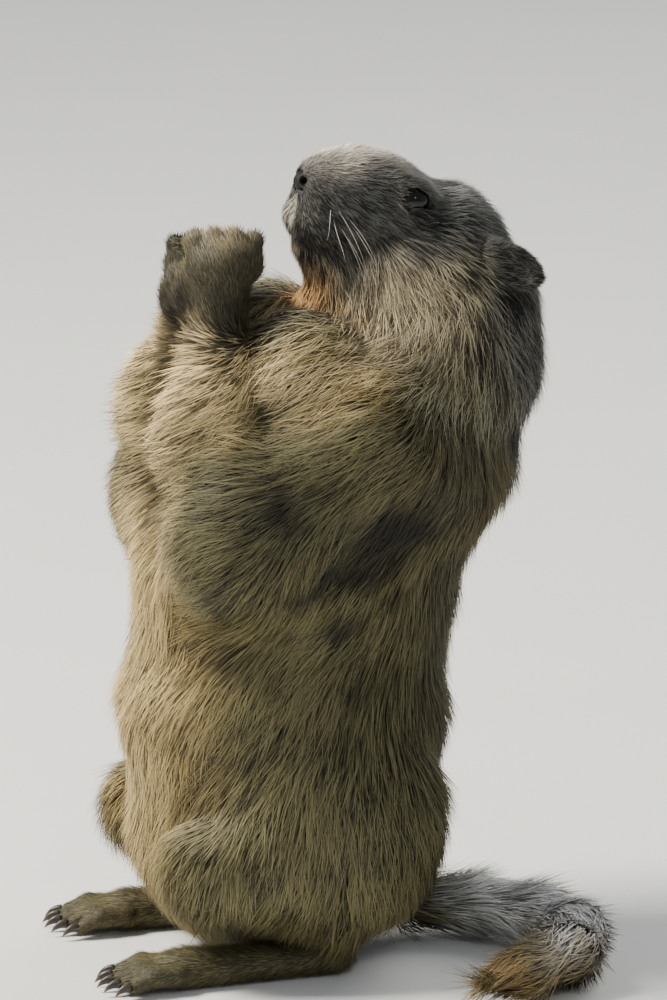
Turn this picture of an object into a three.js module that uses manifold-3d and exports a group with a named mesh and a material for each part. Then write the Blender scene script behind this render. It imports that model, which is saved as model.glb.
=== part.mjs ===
// Alpine marmot sitting up on its haunches, nose lifted and both forepaws held in front of the chin,
// as a still life-size model. Millimetres, +Z up; the animal looks along -Y and its left side is +X.
// Each mass of the body is a rounded form from a few sizes, which reach to the tips of the coat. Where
// the coat is long, the solid core reaches half way to the tips, and flat tapered locks cover the rest.
import * as THREE from "three";
import { mergeVertices } from "three/addons/utils/BufferGeometryUtils.js";
import Module from "manifold-3d";

const wasm = await Module();
wasm.setup();

// Driving sizes
const GAP = 0.3; // kept between neighbouring pieces
const LONG_COAT = 8; // a coat deeper than this is built as locks over a core
const EYES = { y: 46.7, z: 351 }; // the middle of the eyes, where the head's own axes start
const HEAD_PITCH = THREE.MathUtils.degToRad(29); // how far the nose is lifted
const EYE = { x: 22.5, forward: -1, up: -2, radius: 7 };
const SHOULDER = { at: [46, 22, 246], radius: 34, coat: 16 };
const ELBOW = { at: [49, -41, 201], radius: 26.5, coat: 16 };
const WRIST = { at: [22, -44, 285], radius: 18, coat: 10 };
const KNEE = { at: [52, -54, 58], radius: 27, coat: 16 };
const HEEL = [47, 4, 9];
const BALL = [50, -68, 8];
const TAIL_FLATNESS = 0.8; // height over width
const TAIL_COAT = 14;
const TAIL_LINE = [
  { at: [0, 50, 17], radius: 18 },
  { at: [8, 78, 16], radius: 19 },
  { at: [32, 100, 16.5], radius: 20.5 },
  { at: [64, 108, 17], radius: 21 },
  { at: [95, 99, 17], radius: 20 },
  { at: [117, 76, 16], radius: 15 },
  { at: [125, 58, 15], radius: 8 },
];
const SIDES = [
  ["left", 1],
  ["right", -1],
];

// A rounded mass: its centre, its half sizes out to the tips of the coat, and the coat's depth there.
const mass = (centre, half, coat) => ({ centre, half, coat });
const mirrored = (m) => mass([-m.centre[0], m.centre[1], m.centre[2]], m.half, m.coat);
const inPair = (m) => [m, mirrored(m)];

const TORSO = [
  mass([0, -9, 54], [64, 70, 57], 16), // pelvis and rump
  mass([0, -8, 112], [71, 77, 66], 16), // belly
  mass([0, -2, 172], [64, 76, 58], 16), // ribs
  mass([0, 34, 228], [66, 66, 55], 16), // chest
];
const NECK = [
  mass([0, 55, 270], [57, 57, 48], 16),
  mass([0, 60, 298], [47, 50, 40], 14),
  ...inPair(mass([26, 0, 280], [28, 28, 27], 16)), // ruff beside the throat
];
const FOREARM_FRINGE = mass([34, -50, 250], [21, 26, 38], 16);
const THIGH = mass([47, 4, 70], [37, 54, 58], 16);
// The head's masses are set in its own axes: across, forward and up from the middle of the eyes.
const HEAD = [
  mass([0, -28, -16], [37, 34, 32], 7), // skull and crown
  mass([0, 5, -13.5], [28, 35, 26], 4), // forehead and bridge
  ...inPair(mass([17, -21, -30], [24, 30, 25], 12)), // cheeks
  mass([0, 21, -21], [20, 23, 24], 3), // muzzle
  mass([0, 36, -17], [11, 9, 9], 1.5), // tip of the nose
  ...inPair(mass([8, 30, -33], [11.5, 11, 9.5], 2)), // upper lips
  mass([0, 20, -45], [13, 13, 9], 3), // chin
  mass([0, -3, -43], [24, 25, 15], 6), // lower jaw
  ...inPair(mass([19, 0, 3], [9, 12, 5.5], 2)), // brows
];

// The coat's locks on each kind of piece: their length, and how far apart they grow across the lie.
const LOCKS = {
  head: { length: 44, across: 23 },
  neck: { length: 66, across: 31 },
  torso: { length: 70, across: 40 },
  upper_arm: { length: 60, across: 32 },
  forearm: { length: 62, across: 33 },
  thigh: { length: 60, across: 34 },
  tail: { length: 46, across: 27 },
};
// A lock from root to tip: share of its length, share of its width, thickness at its ridge in mm, and
// height of its underside as a share of the depth between core and tips.
const LOCK_SHAPE = [
  { along: 0, width: 0.85, thick: 4, height: -0.45 },
  { along: 0.34, width: 1, thick: 6, height: 0.08 },
  { along: 0.72, width: 0.8, thick: 3.6, height: 0.56 },
  { along: 1, width: 0, thick: 0, height: 1.15 },
];

// Small vector helpers
const vec = (p) => new THREE.Vector3(...p);
const onSide = (p, side) => [p[0] * side, p[1], p[2]];

function inHead(p) {
  const dy = p.y - EYES.y;
  const dz = p.z - EYES.z;
  const c = Math.cos(HEAD_PITCH);
  const s = Math.sin(HEAD_PITCH);
  return new THREE.Vector3(p.x, s * dz - c * dy, s * dy + c * dz);
}

function fromHead([across, forward, up]) {
  const c = Math.cos(HEAD_PITCH);
  const s = Math.sin(HEAD_PITCH);
  return new THREE.Vector3(across, EYES.y - c * forward + s * up, EYES.z + s * forward + c * up);
}

const headWay = (way) => fromHead(way).sub(fromHead([0, 0, 0])).normalize();

// Fields: about the distance to a form's surface in mm, negative inside it. At depth 0 the surface is
// the tips of the coat, and at depth 1 the core.
const coreInset = (coat) => (coat > LONG_COAT ? coat / 2 : 0);
const smoothJoin = (a, b, k) => {
  const h = Math.max(k - Math.abs(a - b), 0) / k;
  return Math.min(a, b) - (h * h * k) / 4;
};

function massField(p, { centre, half, coat }, depth = 0) {
  const x = p.x - centre[0];
  const y = p.y - centre[1];
  const z = p.z - centre[2];
  const share = Math.hypot(x / half[0], y / half[1], z / half[2]);
  const slope = Math.hypot(x / half[0] ** 2, y / half[1] ** 2, z / half[2] ** 2);
  const tips = slope < 1e-9 ? -Math.min(...half) : (share * (share - 1)) / slope;
  return tips + depth * coreInset(coat);
}

const massesField = (p, masses, k, depth) =>
  masses.map((m) => massField(p, m, depth)).reduce((a, b) => smoothJoin(a, b, k));

function coneField(p, a, b, radiusA, radiusB) {
  const ab = b.clone().sub(a);
  const t = THREE.MathUtils.clamp(p.clone().sub(a).dot(ab) / ab.lengthSq(), 0, 1);
  return p.distanceTo(a.clone().addScaledVector(ab, t)) - THREE.MathUtils.lerp(radiusA, radiusB, t);
}

function trunkField(p, depth = 0) {
  const body = smoothJoin(massesField(p, TORSO, 26, depth), massesField(p, NECK, 16, depth), 18);
  return smoothJoin(body, massesField(inHead(p), HEAD, 9, depth), 14);
}

const jointRadius = ({ radius, coat }, depth) => radius - depth * coreInset(coat);
const armField = (side) => {
  const [shoulder, elbow, wrist] = [SHOULDER, ELBOW, WRIST].map(({ at }) => vec(onSide(at, side)));
  const fringe = side > 0 ? FOREARM_FRINGE : mirrored(FOREARM_FRINGE);
  return (p, depth = 0) => {
    const [s, e, w] = [SHOULDER, ELBOW, WRIST].map((joint) => jointRadius(joint, depth));
    const bent = smoothJoin(coneField(p, shoulder, elbow, s, e), coneField(p, elbow, wrist, e, w), 36);
    return smoothJoin(bent, massField(p, fringe, depth), 8);
  };
};

const thighField = (side) => {
  const haunch = side > 0 ? THIGH : mirrored(THIGH);
  const knee = vec(onSide(KNEE.at, side));
  return (p, depth = 0) =>
    smoothJoin(massField(p, haunch, depth), p.distanceTo(knee) - jointRadius(KNEE, depth), 24);
};

const flattened = (q) => new THREE.Vector3(q.x, q.y, q.z / TAIL_FLATNESS);
const tailLine = TAIL_LINE.map(({ at }) => vec(at));
const flatTailLine = tailLine.map(flattened);
function tailField(p, depth = 0) {
  const at = flattened(p);
  const radii = TAIL_LINE.map(({ radius }) => radius * (1 - (depth * TAIL_COAT) / 2 / 21));
  return flatTailLine
    .slice(1)
    .map((b, i) => coneField(at, flatTailLine[i], b, radii[i], radii[i + 1]))
    .reduce((a, b) => smoothJoin(a, b, 6)) * TAIL_FLATNESS;
}

// Solids
function toSolid(geometry, merge = 1e-4) {
  const bare = geometry.clone();
  bare.deleteAttribute("normal");
  bare.deleteAttribute("uv");
  const merged = mergeVertices(bare, merge);
  return new wasm.Manifold(
    new wasm.Mesh({
      numProp: 3,
      vertProperties: merged.attributes.position.array,
      triVerts: new Uint32Array(merged.index.array),
    }),
  );
}

function toGeometry(solid) {
  const { vertProperties, triVerts } = solid.getMesh();
  const geometry = new THREE.BufferGeometry();
  geometry.setAttribute("position", new THREE.BufferAttribute(vertProperties, 3));
  geometry.setIndex(new THREE.BufferAttribute(triVerts, 1));
  return geometry;
}

const joinAll = (solids) => solids.reduce((a, b) => a.add(b));
const cutAll = (solid, tools) => tools.reduce((a, b) => a.subtract(b), solid);
const largest = (solid) => solid.decompose().reduce((a, b) => (b.volume() > a.volume() ? b : a));

// Keeps the largest closed surface, with points closer than a thousandth of a millimetre made one.
const settled = (solid) => largest(toSolid(toGeometry(largest(solid)), 1e-3));

// A plane that parts two pieces: a point on it and the way its kept side faces.
const plane = (point, facing) => ({ point: vec(point), facing: vec(facing).normalize() });
const turned = ({ point, facing }) => ({ point, facing: facing.clone().negate() });
const beyond = (p, { point, facing }) => p.clone().sub(point).dot(facing);

// Rays leave a stem, a line of centres inside a form, square to it along its length, and fan out at
// both ends. A ring is one place along it, in mm, from -FAN to the stem's length + FAN.
const FAN = (Math.PI / 2) * 26; // a quarter turn at each end, as on a rounded end of 26 mm
function stemOf(line, across) {
  const curve = new THREE.CatmullRomCurve3(line.map(vec));
  const length = curve.getLength();
  const ring = (place) => {
    const share = THREE.MathUtils.clamp(place / length, 0, 1);
    const past = Math.min(place, 0) + Math.max(place - length, 0);
    const angle = (Math.PI / 2) * (1 + past / FAN);
    const centre = curve.getPointAt(share);
    const tangent = curve.getTangentAt(share);
    const u = vec(across).addScaledVector(tangent, -tangent.dot(vec(across))).normalize();
    const v = tangent.clone().cross(u);
    const ray = (turn) => tangent.clone().multiplyScalar(-Math.cos(angle))
      .addScaledVector(u, Math.sin(angle) * Math.cos(turn))
      .addScaledVector(v, Math.sin(angle) * Math.sin(turn));
    return { centre, ray, spread: Math.sin(angle) };
  };
  return { length, ring };
}

// Follows a ray from inside a field to its surface, and gives the distance.
function distanceOut(field, from, way, reach = 150) {
  const at = (t) => field(from.clone().addScaledVector(way, t));
  let inside = 0;
  let outside = 0;
  for (let d = at(0); d < 0 && outside < reach; d = at(outside)) {
    inside = outside;
    outside += Math.max(-d, 0.2);
  }
  for (let halving = 0; halving < 12; halving++) {
    const half = (inside + outside) / 2;
    if (at(half) < 0) inside = half;
    else outside = half;
  }
  return outside;
}

// Builds a closed net of rings on a field, round a stem.
function castNet({ line, rings, sides, field, reach, across = [1, 0, 0] }) {
  const stem = stemOf(line, across);
  const points = [];
  for (let i = 0; i <= rings; i++) {
    const { centre, ray } = stem.ring(-FAN + (i / rings) * (stem.length + 2 * FAN));
    const around = i === 0 || i === rings ? 1 : sides;
    for (let j = 0; j < around; j++) {
      const way = ray((2 * Math.PI * j) / sides);
      points.push(centre.clone().addScaledVector(way, distanceOut(field, centre, way, reach)));
    }
  }
  const last = points.length - 1;
  const at = (ring, j) => (ring === 0 ? 0 : ring === rings ? last : 1 + (ring - 1) * sides + (j % sides));
  const index = [];
  for (let ring = 0; ring < rings; ring++) {
    for (let j = 0; j < sides; j++) {
      const [a, b, c, d] = [at(ring, j), at(ring, j + 1), at(ring + 1, j + 1), at(ring + 1, j)];
      if (ring > 0) index.push(a, b, c);
      if (ring < rings - 1) index.push(a, c, d);
    }
  }
  const geometry = new THREE.BufferGeometry().setFromPoints(points);
  geometry.setIndex(index);
  return geometry;
}

// One piece of the body: a net on its field, trimmed by the planes that part it from its neighbours.
// exact is the piece itself, and grown the same form GAP larger, which clears room for it in others.
const MARGIN = 24; // how far a net runs past its planes before they trim it
function piece({ planes = [], ...net }) {
  const made = (grow) => {
    const field = (p) =>
      planes.reduce((d, cut) => Math.max(d, -beyond(p, cut) - MARGIN), net.field(p, 1) - grow);
    let solid = toSolid(castNet({ ...net, field }));
    for (const { point, facing } of planes) {
      const offset = point.dot(facing) + GAP / 2 - (grow ? 0.98 * GAP : 0);
      solid = solid.trimByPlane(facing.toArray(), offset);
    }
    return solid;
  };
  return { exact: made(0), grown: made(GAP) };
}

// A plain rounded solid of three half sizes, turned and placed by a matrix.
function ellipsoid(half, matrix, columns = 16, rows = 10) {
  const g = new THREE.SphereGeometry(1, columns, rows).scale(...half);
  return toSolid(g.applyMatrix4(matrix));
}

// The head's axes as a turn: across, backward and up.
const headAxes = () =>
  new THREE.Matrix4().makeBasis(headWay([1, 0, 0]), headWay([0, -1, 0]), headWay([0, 0, 1]));
const placed = (at, turn = new THREE.Matrix4()) => turn.clone().setPosition(at);

// Planes between the pieces
const HEAD_CUT = plane([0, 60, 292], [0, 0.25, 1]);
const NECK_CUT = plane([0, 50, 250], [0, 0.22, 1]);
const FLOOR = plane([0, 0, -GAP / 2], [0, 0, 1]);

const pieces = {};
const paint = (hex, roughness = 0.9) =>
  new THREE.MeshStandardMaterial({ color: hex, roughness, metalness: 0 });
const COLOURS = {
  grey: () => paint(0x6d675a),
  fawn: () => paint(0x9c8a68),
  dark: () => paint(0x4a463d),
  paw: () => paint(0x7d715c),
  nose: () => paint(0x1c1a19, 0.55),
  eye: () => paint(0x0c0a09, 0.08),
  horn: () => paint(0x2e2822, 0.4),
};

// Adds a piece, cut clear of those that it must not touch. coat says where its locks grow.
function add(name, solids, colour, { clearOf = Object.keys(pieces), coat = null } = {}) {
  const tools = clearOf.map((other) => pieces[other].grown);
  const exact = settled(cutAll(solids.exact, tools));
  pieces[name] = { exact, grown: solids.grown.add(exact), material: COLOURS[colour](), coat };
}

// Eyes, claws and the nose's pad are whole, and the pieces that hold them have sockets for them.
const addWhole = (name, { exact, grown }, colour) => {
  pieces[name] = { exact, grown, material: COLOURS[colour](), coat: null };
};

// Eyes and lids
const eyeAt = (side) => fromHead([EYE.x * side, EYE.forward, EYE.up]);
const eyeOutward = (side) => headWay([0.93 * side, 0.27, 0.24]);
function eyeTurn(side) {
  const out = eyeOutward(side);
  const forward = headWay([0, 1, 0.1]);
  const corner = forward.addScaledVector(out, -forward.dot(out)).normalize();
  return new THREE.Matrix4().makeBasis(out, corner, out.clone().cross(corner));
}
const eyeBall = (radius, side) => ellipsoid([radius, radius, radius], placed(eyeAt(side)), 11, 7);
const LID = { thickness: 1.5, opening: [6.5, 6.2, 4.6] };
function lids(side) {
  const front = eyeAt(side).addScaledVector(eyeOutward(side), EYE.radius);
  const opening = ellipsoid(LID.opening, placed(front, eyeTurn(side)), 10, 6);
  return eyeBall(EYE.radius + LID.thickness, side).subtract(opening);
}
for (const [name, side] of SIDES) {
  const ball = { exact: eyeBall(EYE.radius, side), grown: eyeBall(EYE.radius + GAP, side) };
  addWhole(`eye_${name}`, ball, "eye");
}

// The nose's bare pad, with the nostrils
const NOSE_PAD = { at: [0, 43, -17], half: [8, 5, 6.3] };
const NOSTRIL = { at: [5.4, 45.5, -17], half: [2.2, 5, 2.7], turn: 0.5 };
function nostril(side) {
  const turn = headAxes().multiply(new THREE.Matrix4().makeRotationZ(NOSTRIL.turn * side));
  return ellipsoid(NOSTRIL.half, placed(fromHead(onSide(NOSTRIL.at, side)), turn), 7, 5);
}
const nosePad = (grow) =>
  ellipsoid(NOSE_PAD.half.map((h) => h + grow), placed(fromHead(NOSE_PAD.at), headAxes()), 10, 6);
addWhole("nose", {
  exact: nosePad(0).subtract(nostril(1)).subtract(nostril(-1)),
  grown: nosePad(GAP),
}, "nose");

// Torso, neck and head are one smooth form, parted by planes.
const headCoat = (p) => {
  const q = inHead(p);
  return q.y < -10 && (q.z < -14 || q.y < -46);
};
const skull = piece({
  line: [[0, 24, -20], [0, -34, -18]].map((q) => fromHead(q).toArray()),
  rings: 18,
  sides: 20,
  field: trunkField,
  planes: [HEAD_CUT],
});

// The mouth's line runs back from the front of the lips, and a groove divides the upper lip.
const MOUTH = { up: -41.5, corner: 12, height: 1.5, inner: [15, 40] };
const LIP_GROOVE = { at: [0, 44, -32], size: [1.3, 6, 15], lean: -0.2 };
const mouthPlace = placed(fromHead([0, 0, MOUTH.up]), headAxes());
const mouthSlab = new THREE.BoxGeometry(50, 50, MOUTH.height).translate(0, -MOUTH.corner - 25, 0);
const mouthInside = new THREE.CylinderGeometry(1, 1, 4, 14)
  .rotateX(Math.PI / 2)
  .scale(MOUTH.inner[0], MOUTH.inner[1], 1);
const mouthLine = toSolid(mouthSlab.applyMatrix4(mouthPlace))
  .subtract(toSolid(mouthInside.applyMatrix4(mouthPlace)));
const lipGroove = toSolid(new THREE.BoxGeometry(...LIP_GROOVE.size)
  .rotateX(LIP_GROOVE.lean)
  .applyMatrix4(placed(fromHead(LIP_GROOVE.at), headAxes())));
const carvedHead = SIDES.reduce(
  (head, [, side]) => head.add(lids(side)).subtract(nostril(side)),
  skull.exact.subtract(mouthLine).subtract(lipGroove),
);
add("head", { exact: carvedHead, grown: skull.grown }, "dark", {
  coat: {
    kind: "head",
    field: trunkField,
    grows: headCoat,
    rows: { stem: [[0, -14, -26], [0, -34, -26]].map((q) => fromHead(q).toArray()), first: 0, past: 4, count: 2 },
  },
});
add("neck", piece({
  line: [[0, 46, 262], [0, 44, 282]],
  rings: 11,
  sides: 22,
  field: trunkField,
  planes: [NECK_CUT, turned(HEAD_CUT)],
}), "grey", {
  coat: { kind: "neck", field: trunkField, rows: { stem: [[0, 46, 284], [0, 48, 256]], first: 0, past: 0, count: 1 } },
});

// Ears: low round cups that lie back along the head.
const EAR = { at: [36, -51, -8], half: [6, 16, 10], bowl: [5.5, 12, 7.5], tilt: 0.32 };
for (const [name, side] of SIDES) {
  const tilt = headAxes().multiply(new THREE.Matrix4().makeRotationZ(-EAR.tilt * side));
  const at = (offset) => fromHead(onSide(EAR.at.map((v, i) => v + offset[i]), side));
  const shell = (grow) => ellipsoid(EAR.half.map((h) => h + grow), placed(at([0, 0, 0]), tilt), 10, 7);
  const bowl = ellipsoid(EAR.bowl, placed(at([5, 1.5, -0.5]), tilt), 9, 6);
  add(`ear_${name}`, { exact: shell(0).subtract(bowl), grown: shell(GAP) }, "dark");
}

// A chain of round cones, such as a finger or a toe.
const chainField = (line, radii) => (p) =>
  line.slice(1)
    .map((b, i) => coneField(p, vec(line[i]), vec(b), radii[i], radii[i + 1]))
    .reduce((a, b) => smoothJoin(a, b, 2));
const digit = (line, radii, grow) =>
  toSolid(castNet({
    line,
    rings: 5,
    sides: 5,
    field: (p) => chainField(line, radii)(p) - grow,
    across: [0.3, 0.2, 0.93],
  }));

// A claw: a curved horn from its root along heading, which tapers to its tip and falls to one side.
const CLAW = { rows: 3, sides: 5, flatness: 0.8, fall: 0.45 };
function claw({ root, heading, fall, length, radius }, grow = 0) {
  const ahead = vec(heading).normalize();
  const down = vec(fall).normalize();
  const across = ahead.clone().cross(down).normalize();
  const start = vec(root).addScaledVector(ahead, -grow);
  const full = length + 2 * grow;
  const spine = (t) => start.clone()
    .addScaledVector(ahead, full * (t - 0.2 * t * t))
    .addScaledVector(down, full * CLAW.fall * t * t);
  const points = [];
  for (let i = 0; i < CLAW.rows; i++) {
    const t = i / CLAW.rows;
    const r = (radius + grow) * (1 - t ** 1.5);
    const up = across.clone().cross(ahead.clone().addScaledVector(down, 0.9 * t)).normalize();
    for (let j = 0; j < CLAW.sides; j++) {
      const phi = (2 * Math.PI * j) / CLAW.sides;
      points.push(spine(t)
        .addScaledVector(across, CLAW.flatness * r * Math.cos(phi))
        .addScaledVector(up, r * Math.sin(phi)));
    }
  }
  const tip = points.push(spine(1)) - 1;
  const middle = points.push(start) - 1;
  const index = [];
  for (let j = 0; j < CLAW.sides; j++) {
    const k = (j + 1) % CLAW.sides;
    for (let i = 0; i < CLAW.rows - 1; i++) {
      const [a, b] = [i * CLAW.sides + j, i * CLAW.sides + k];
      index.push(b, a, b + CLAW.sides, b + CLAW.sides, a, a + CLAW.sides);
    }
    const lastRow = (CLAW.rows - 1) * CLAW.sides;
    index.push(lastRow + k, lastRow + j, tip);
    index.push(j, k, middle);
  }
  const geometry = new THREE.BufferGeometry().setFromPoints(points);
  geometry.setIndex(index);
  return toSolid(geometry);
}
const addClaws = (name, horns) =>
  horns.forEach((horn, i) => {
    addWhole(`claw_${name}_${i + 1}`, { exact: claw(horn), grown: claw(horn, GAP) }, "horn");
  });

// Hind legs: a haunch that folds over a long flat foot with five toes.
const TOES = 5;
for (const [name, side] of SIDES) {
  const at = (q) => onSide(q, side);
  const haunch = thighField(side);
  add(`thigh_${name}`, piece({
    rings: 11,
    sides: 13,
    line: [at([50, 14, 66]), at([51, -44, 62])],
    field: haunch,
    planes: [FLOOR],
  }), "fawn", {
    coat: {
      kind: "thigh",
      field: haunch,
      rows: { stem: [at([48, 6, 104]), at([50, -8, 66]), at([50, -14, 40])], first: -10, past: 0, count: 3 },
    },
  });

  const toeLine = (i) => {
    const spread = (i - (TOES - 1) / 2) / 2;
    const reach = 25 - 4 * spread * spread;
    return [
      at([50 + 11 * spread, -72, 8]),
      at([50 + 13 * spread, -72 - 0.55 * reach, 9]),
      at([50 + 15 * spread, -72 - reach, 5.5]),
    ];
  };
  const toes = Array.from({ length: TOES }, (_, i) => toeLine(i));
  addClaws(`hind_${name}`, toes.map(([, , end], i) => ({
    root: [end[0], end[1] - 2, 5.8],
    heading: [0.12 * side * (i - 2), -1, 0.12],
    fall: [0, 0, -1],
    length: 11,
    radius: 2.3,
  })));

  const [heel, ball] = [at(HEEL), at(BALL)];
  const footField = (p) => {
    const low = new THREE.Vector3(p.x, p.y, p.z * 1.25);
    const sole = coneField(low, vec(heel), vec([ball[0], ball[1], 10]), 11, 15) * 0.85;
    const ankle = coneField(p, vec(at([47, 3, 13])), vec(at([49, 0, 34])), 12, 17);
    return smoothJoin(sole, ankle, 6);
  };
  const sole = piece({ rings: 10, sides: 9, line: [heel, ball], field: footField, planes: [FLOOR] });
  const toeSolids = (grow) => toes.map((line) => digit(line, [6.2, 5.6, 4.6], grow));
  add(`hind_foot_${name}`, {
    exact: joinAll([sole.exact, ...toeSolids(0)]).trimByPlane([0, 0, 1], 0),
    grown: joinAll([sole.grown, ...toeSolids(GAP)]),
  }, "paw");
}

// Forelegs: upper arm, raised forearm and a paw with four fingers folded over towards its fellow.
const FINGERS = 4;
for (const [name, side] of SIDES) {
  const at = (q) => onSide(q, side);
  const toShoulder = vec(SHOULDER.at).sub(vec(ELBOW.at)).normalize();
  const toWrist = vec(WRIST.at).sub(vec(ELBOW.at)).normalize();
  const elbowCut = plane(at(ELBOW.at), at(toShoulder.clone().sub(toWrist).toArray()));
  const wristCut = plane(at(WRIST.at), at(toWrist.toArray()));
  const field = armField(side);

  const lift = side > 0 ? 8 : 0; // the left paw is held a little higher
  const fingerLine = (i) => {
    const y = -53 + 9.2 * i;
    const z = 319 + lift + 3.5 * Math.sin((Math.PI * (i + 0.7)) / FINGERS);
    return [at([20, 0.85 * y - 6, z - 6]), at([16, y, z + 5]), at([6.5, y + 1.5, z - 1])];
  };
  const fingers = Array.from({ length: FINGERS }, (_, i) => fingerLine(i));
  addClaws(`fore_${name}`, fingers.map(([, , end], i) => ({
    root: [end[0] - 1.2 * side, end[1], end[2] - 2],
    heading: [-0.15 * side, 0.05 * (i - 1.5), -1],
    fall: [side, 0, -0.4],
    length: 13,
    radius: 2.3,
  })));

  const palmField = (p) =>
    smoothJoin(
      coneField(p, vec(at(WRIST.at)), vec(at([20, -41, 312 + lift])), 13.5, 15.5),
      massField(p, mass(at([20.5, -40, 315 + lift]), [11.5, 19, 13], 3)),
      6,
    );
  const palm = piece({
    rings: 8,
    sides: 10,
    line: [at([21, -43, 292]), at([19, -40, 312 + lift])],
    field: palmField,
    planes: [wristCut],
  });
  const fingerSolids = (grow) => fingers.map((line) => digit(line, [6.6, 6, 4.6], grow));
  add(`forepaw_${name}`, {
    exact: joinAll([palm.exact, ...fingerSolids(0)]),
    grown: joinAll([palm.grown, ...fingerSolids(GAP)]),
  }, "paw");

  add(`upper_arm_${name}`, piece({
    rings: 10,
    sides: 10,
    line: [at(SHOULDER.at), at([48, -38, 202])],
    field,
    planes: [elbowCut],
  }), "fawn", {
    coat: {
      kind: "upper_arm",
      field,
      rows: { stem: [at(SHOULDER.at), at([48, -30, 209])], first: -18, past: -14, count: 2 },
    },
  });
  add(`forearm_${name}`, piece({
    rings: 10,
    sides: 10,
    line: [at(ELBOW.at), at([28, -45, 266])],
    field,
    planes: [turned(elbowCut), turned(wristCut)],
  }), "fawn", {
    coat: {
      kind: "forearm",
      field,
      rows: { stem: [at([23, -44, 281]), at(ELBOW.at)], first: 4, past: -12, count: 2 },
    },
  });
}

// The torso comes after the limbs, which lie over it.
add("torso", piece({
  line: [[0, -8, 44], [0, -4, 120], [0, 10, 180], [0, 36, 228]],
  rings: 14,
  sides: 15,
  field: trunkField,
  planes: [turned(NECK_CUT), FLOOR],
}), "fawn", {
  coat: {
    kind: "torso",
    field: trunkField,
    rows: {
      stem: [[0, 38, 246], [0, 12, 180], [0, -4, 120], [0, -8, 50]],
      first: 0,
      past: 0,
      count: 5,
    },
  },
});

// Tail: lies on the ground and curls round the animal's left side, in three lengths.
const tailCurve = new THREE.CatmullRomCurve3(tailLine);
const tailCut = (t) => ({ point: tailCurve.getPointAt(t), facing: tailCurve.getTangentAt(t) });
const tailStretch = (from, to) =>
  Array.from({ length: 5 }, (_, i) => tailCurve.getPointAt(from + ((to - from) * i) / 4).toArray());
const TAIL_PARTS = [
  ["tail_root", 0, 0.36],
  ["tail_middle", 0.36, 0.68],
  ["tail_tip", 0.68, 1],
];
for (const [name, from, to] of TAIL_PARTS) {
  const ends = [];
  if (from > 0) ends.push(tailCut(from));
  if (to < 1) ends.push(turned(tailCut(to)));
  add(name, piece({
    rings: 9,
    sides: 8,
    reach: 60,
    line: tailStretch(Math.max(from, 0.08), Math.min(to, 0.94)),
    field: tailField,
    planes: [...ends, FLOOR],
    across: [0, 0, 1],
  }), "grey", {
    coat: {
      kind: "tail",
      field: tailField,
      rows: { stem: tailStretch(Math.max(from, 0.1), Math.min(to, 0.94)), first: 0, past: -18, count: 2 },
      across: [0, 0, 1],
    },
  });
}

// The lie of the coat: the way the hair runs at a place on each kind of piece.
const nearestOnTail = (p) => {
  const steps = 60;
  const shares = Array.from({ length: steps + 1 }, (_, i) => i / steps);
  const gap = (t) => tailCurve.getPointAt(t).distanceTo(p);
  return shares.reduce((a, b) => (gap(b) < gap(a) ? b : a));
};
const LIE = {
  head: () => headWay([0, -1, -0.25]),
  neck: (p) => new THREE.Vector3(0, -0.25 * THREE.MathUtils.smoothstep(-p.y, -80, 0), -1),
  torso: (p) => new THREE.Vector3(0, -0.3 * Math.min((p.x / 60) ** 2, 1), -1),
  upper_arm: () => new THREE.Vector3(0, -0.72, -0.69),
  forearm: (p) => new THREE.Vector3(0.25 * Math.sign(p.x), -0.2, -0.9),
  thigh: (p) => new THREE.Vector3(0, -0.3 * THREE.MathUtils.smoothstep(-p.y, -20, 50), -1),
  tail: (p) => tailCurve.getTangentAt(nearestOnTail(p)),
};

// Random draws that come out the same each time.
let seed = 20;
function draw(low = 0, high = 1) {
  seed = (Math.imul(seed, 1664525) + 1013904223) >>> 0;
  return low + ((high - low) * seed) / 2 ** 32;
}

function normalAt(field, p) {
  const step = 0.5;
  const slope = (axis) => {
    const ahead = p.clone();
    const behind = p.clone();
    ahead[axis] += step;
    behind[axis] -= step;
    return field(ahead, 1) - field(behind, 1);
  };
  return new THREE.Vector3(slope("x"), slope("y"), slope("z")).normalize();
}

const alongSurface = (way, normal) => way.clone().addScaledVector(normal, -way.dot(normal));

// Where locks grow on a piece: in rows round a stem that runs with the lie, each row shifted by half a
// lock, so that a lock lies over the gap between two of the next row. A place is left out where the
// piece is covered by another or reaches the floor.
const LOWEST_ROOT = 9;
function lockRoots(name, { kind, field, rows, across = [1, 0, 0], grows = () => true }) {
  const spacing = LOCKS[kind];
  const stem = stemOf(rows.stem, across);
  const count = rows.count - 1;
  const covered = (p) => Object.entries(pieces).some(([other, { coat }]) =>
    other !== name && coat && coat.field !== field && coat.field(p, 1) < 1);
  const [first, last] = [rows.first, stem.length + rows.past];
  const roots = [];
  for (let row = 0; row <= count; row++) {
    const { centre, ray, spread } = stem.ring(first + ((last - first) * row) / Math.max(count, 1));
    const probes = Array.from({ length: 12 }, (_, i) => distanceOut(field, centre, ray((i * Math.PI) / 6)));
    const girth = 2 * Math.PI * spread * (probes.reduce((a, b) => a + b) / probes.length);
    const around = Math.max(Math.round(girth / spacing.across), 3);
    for (let j = 0; j < around; j++) {
      const way = ray((2 * Math.PI * (j + (row % 2) / 2 + draw(-0.06, 0.06))) / around);
      const reach = distanceOut((q) => field(q, 1), centre, way);
      const p = centre.clone().addScaledVector(way, reach);
      const root = {
        p,
        turn: draw(-0.1, 0.1),
        length: spacing.length * draw(0.88, 1.12),
        width: ((2 * Math.PI * reach * spread) / around) * draw(0.9, 1),
      };
      if (p.z > LOWEST_ROOT && grows(p) && !covered(p)) roots.push(root);
    }
  }
  return roots;
}

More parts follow.
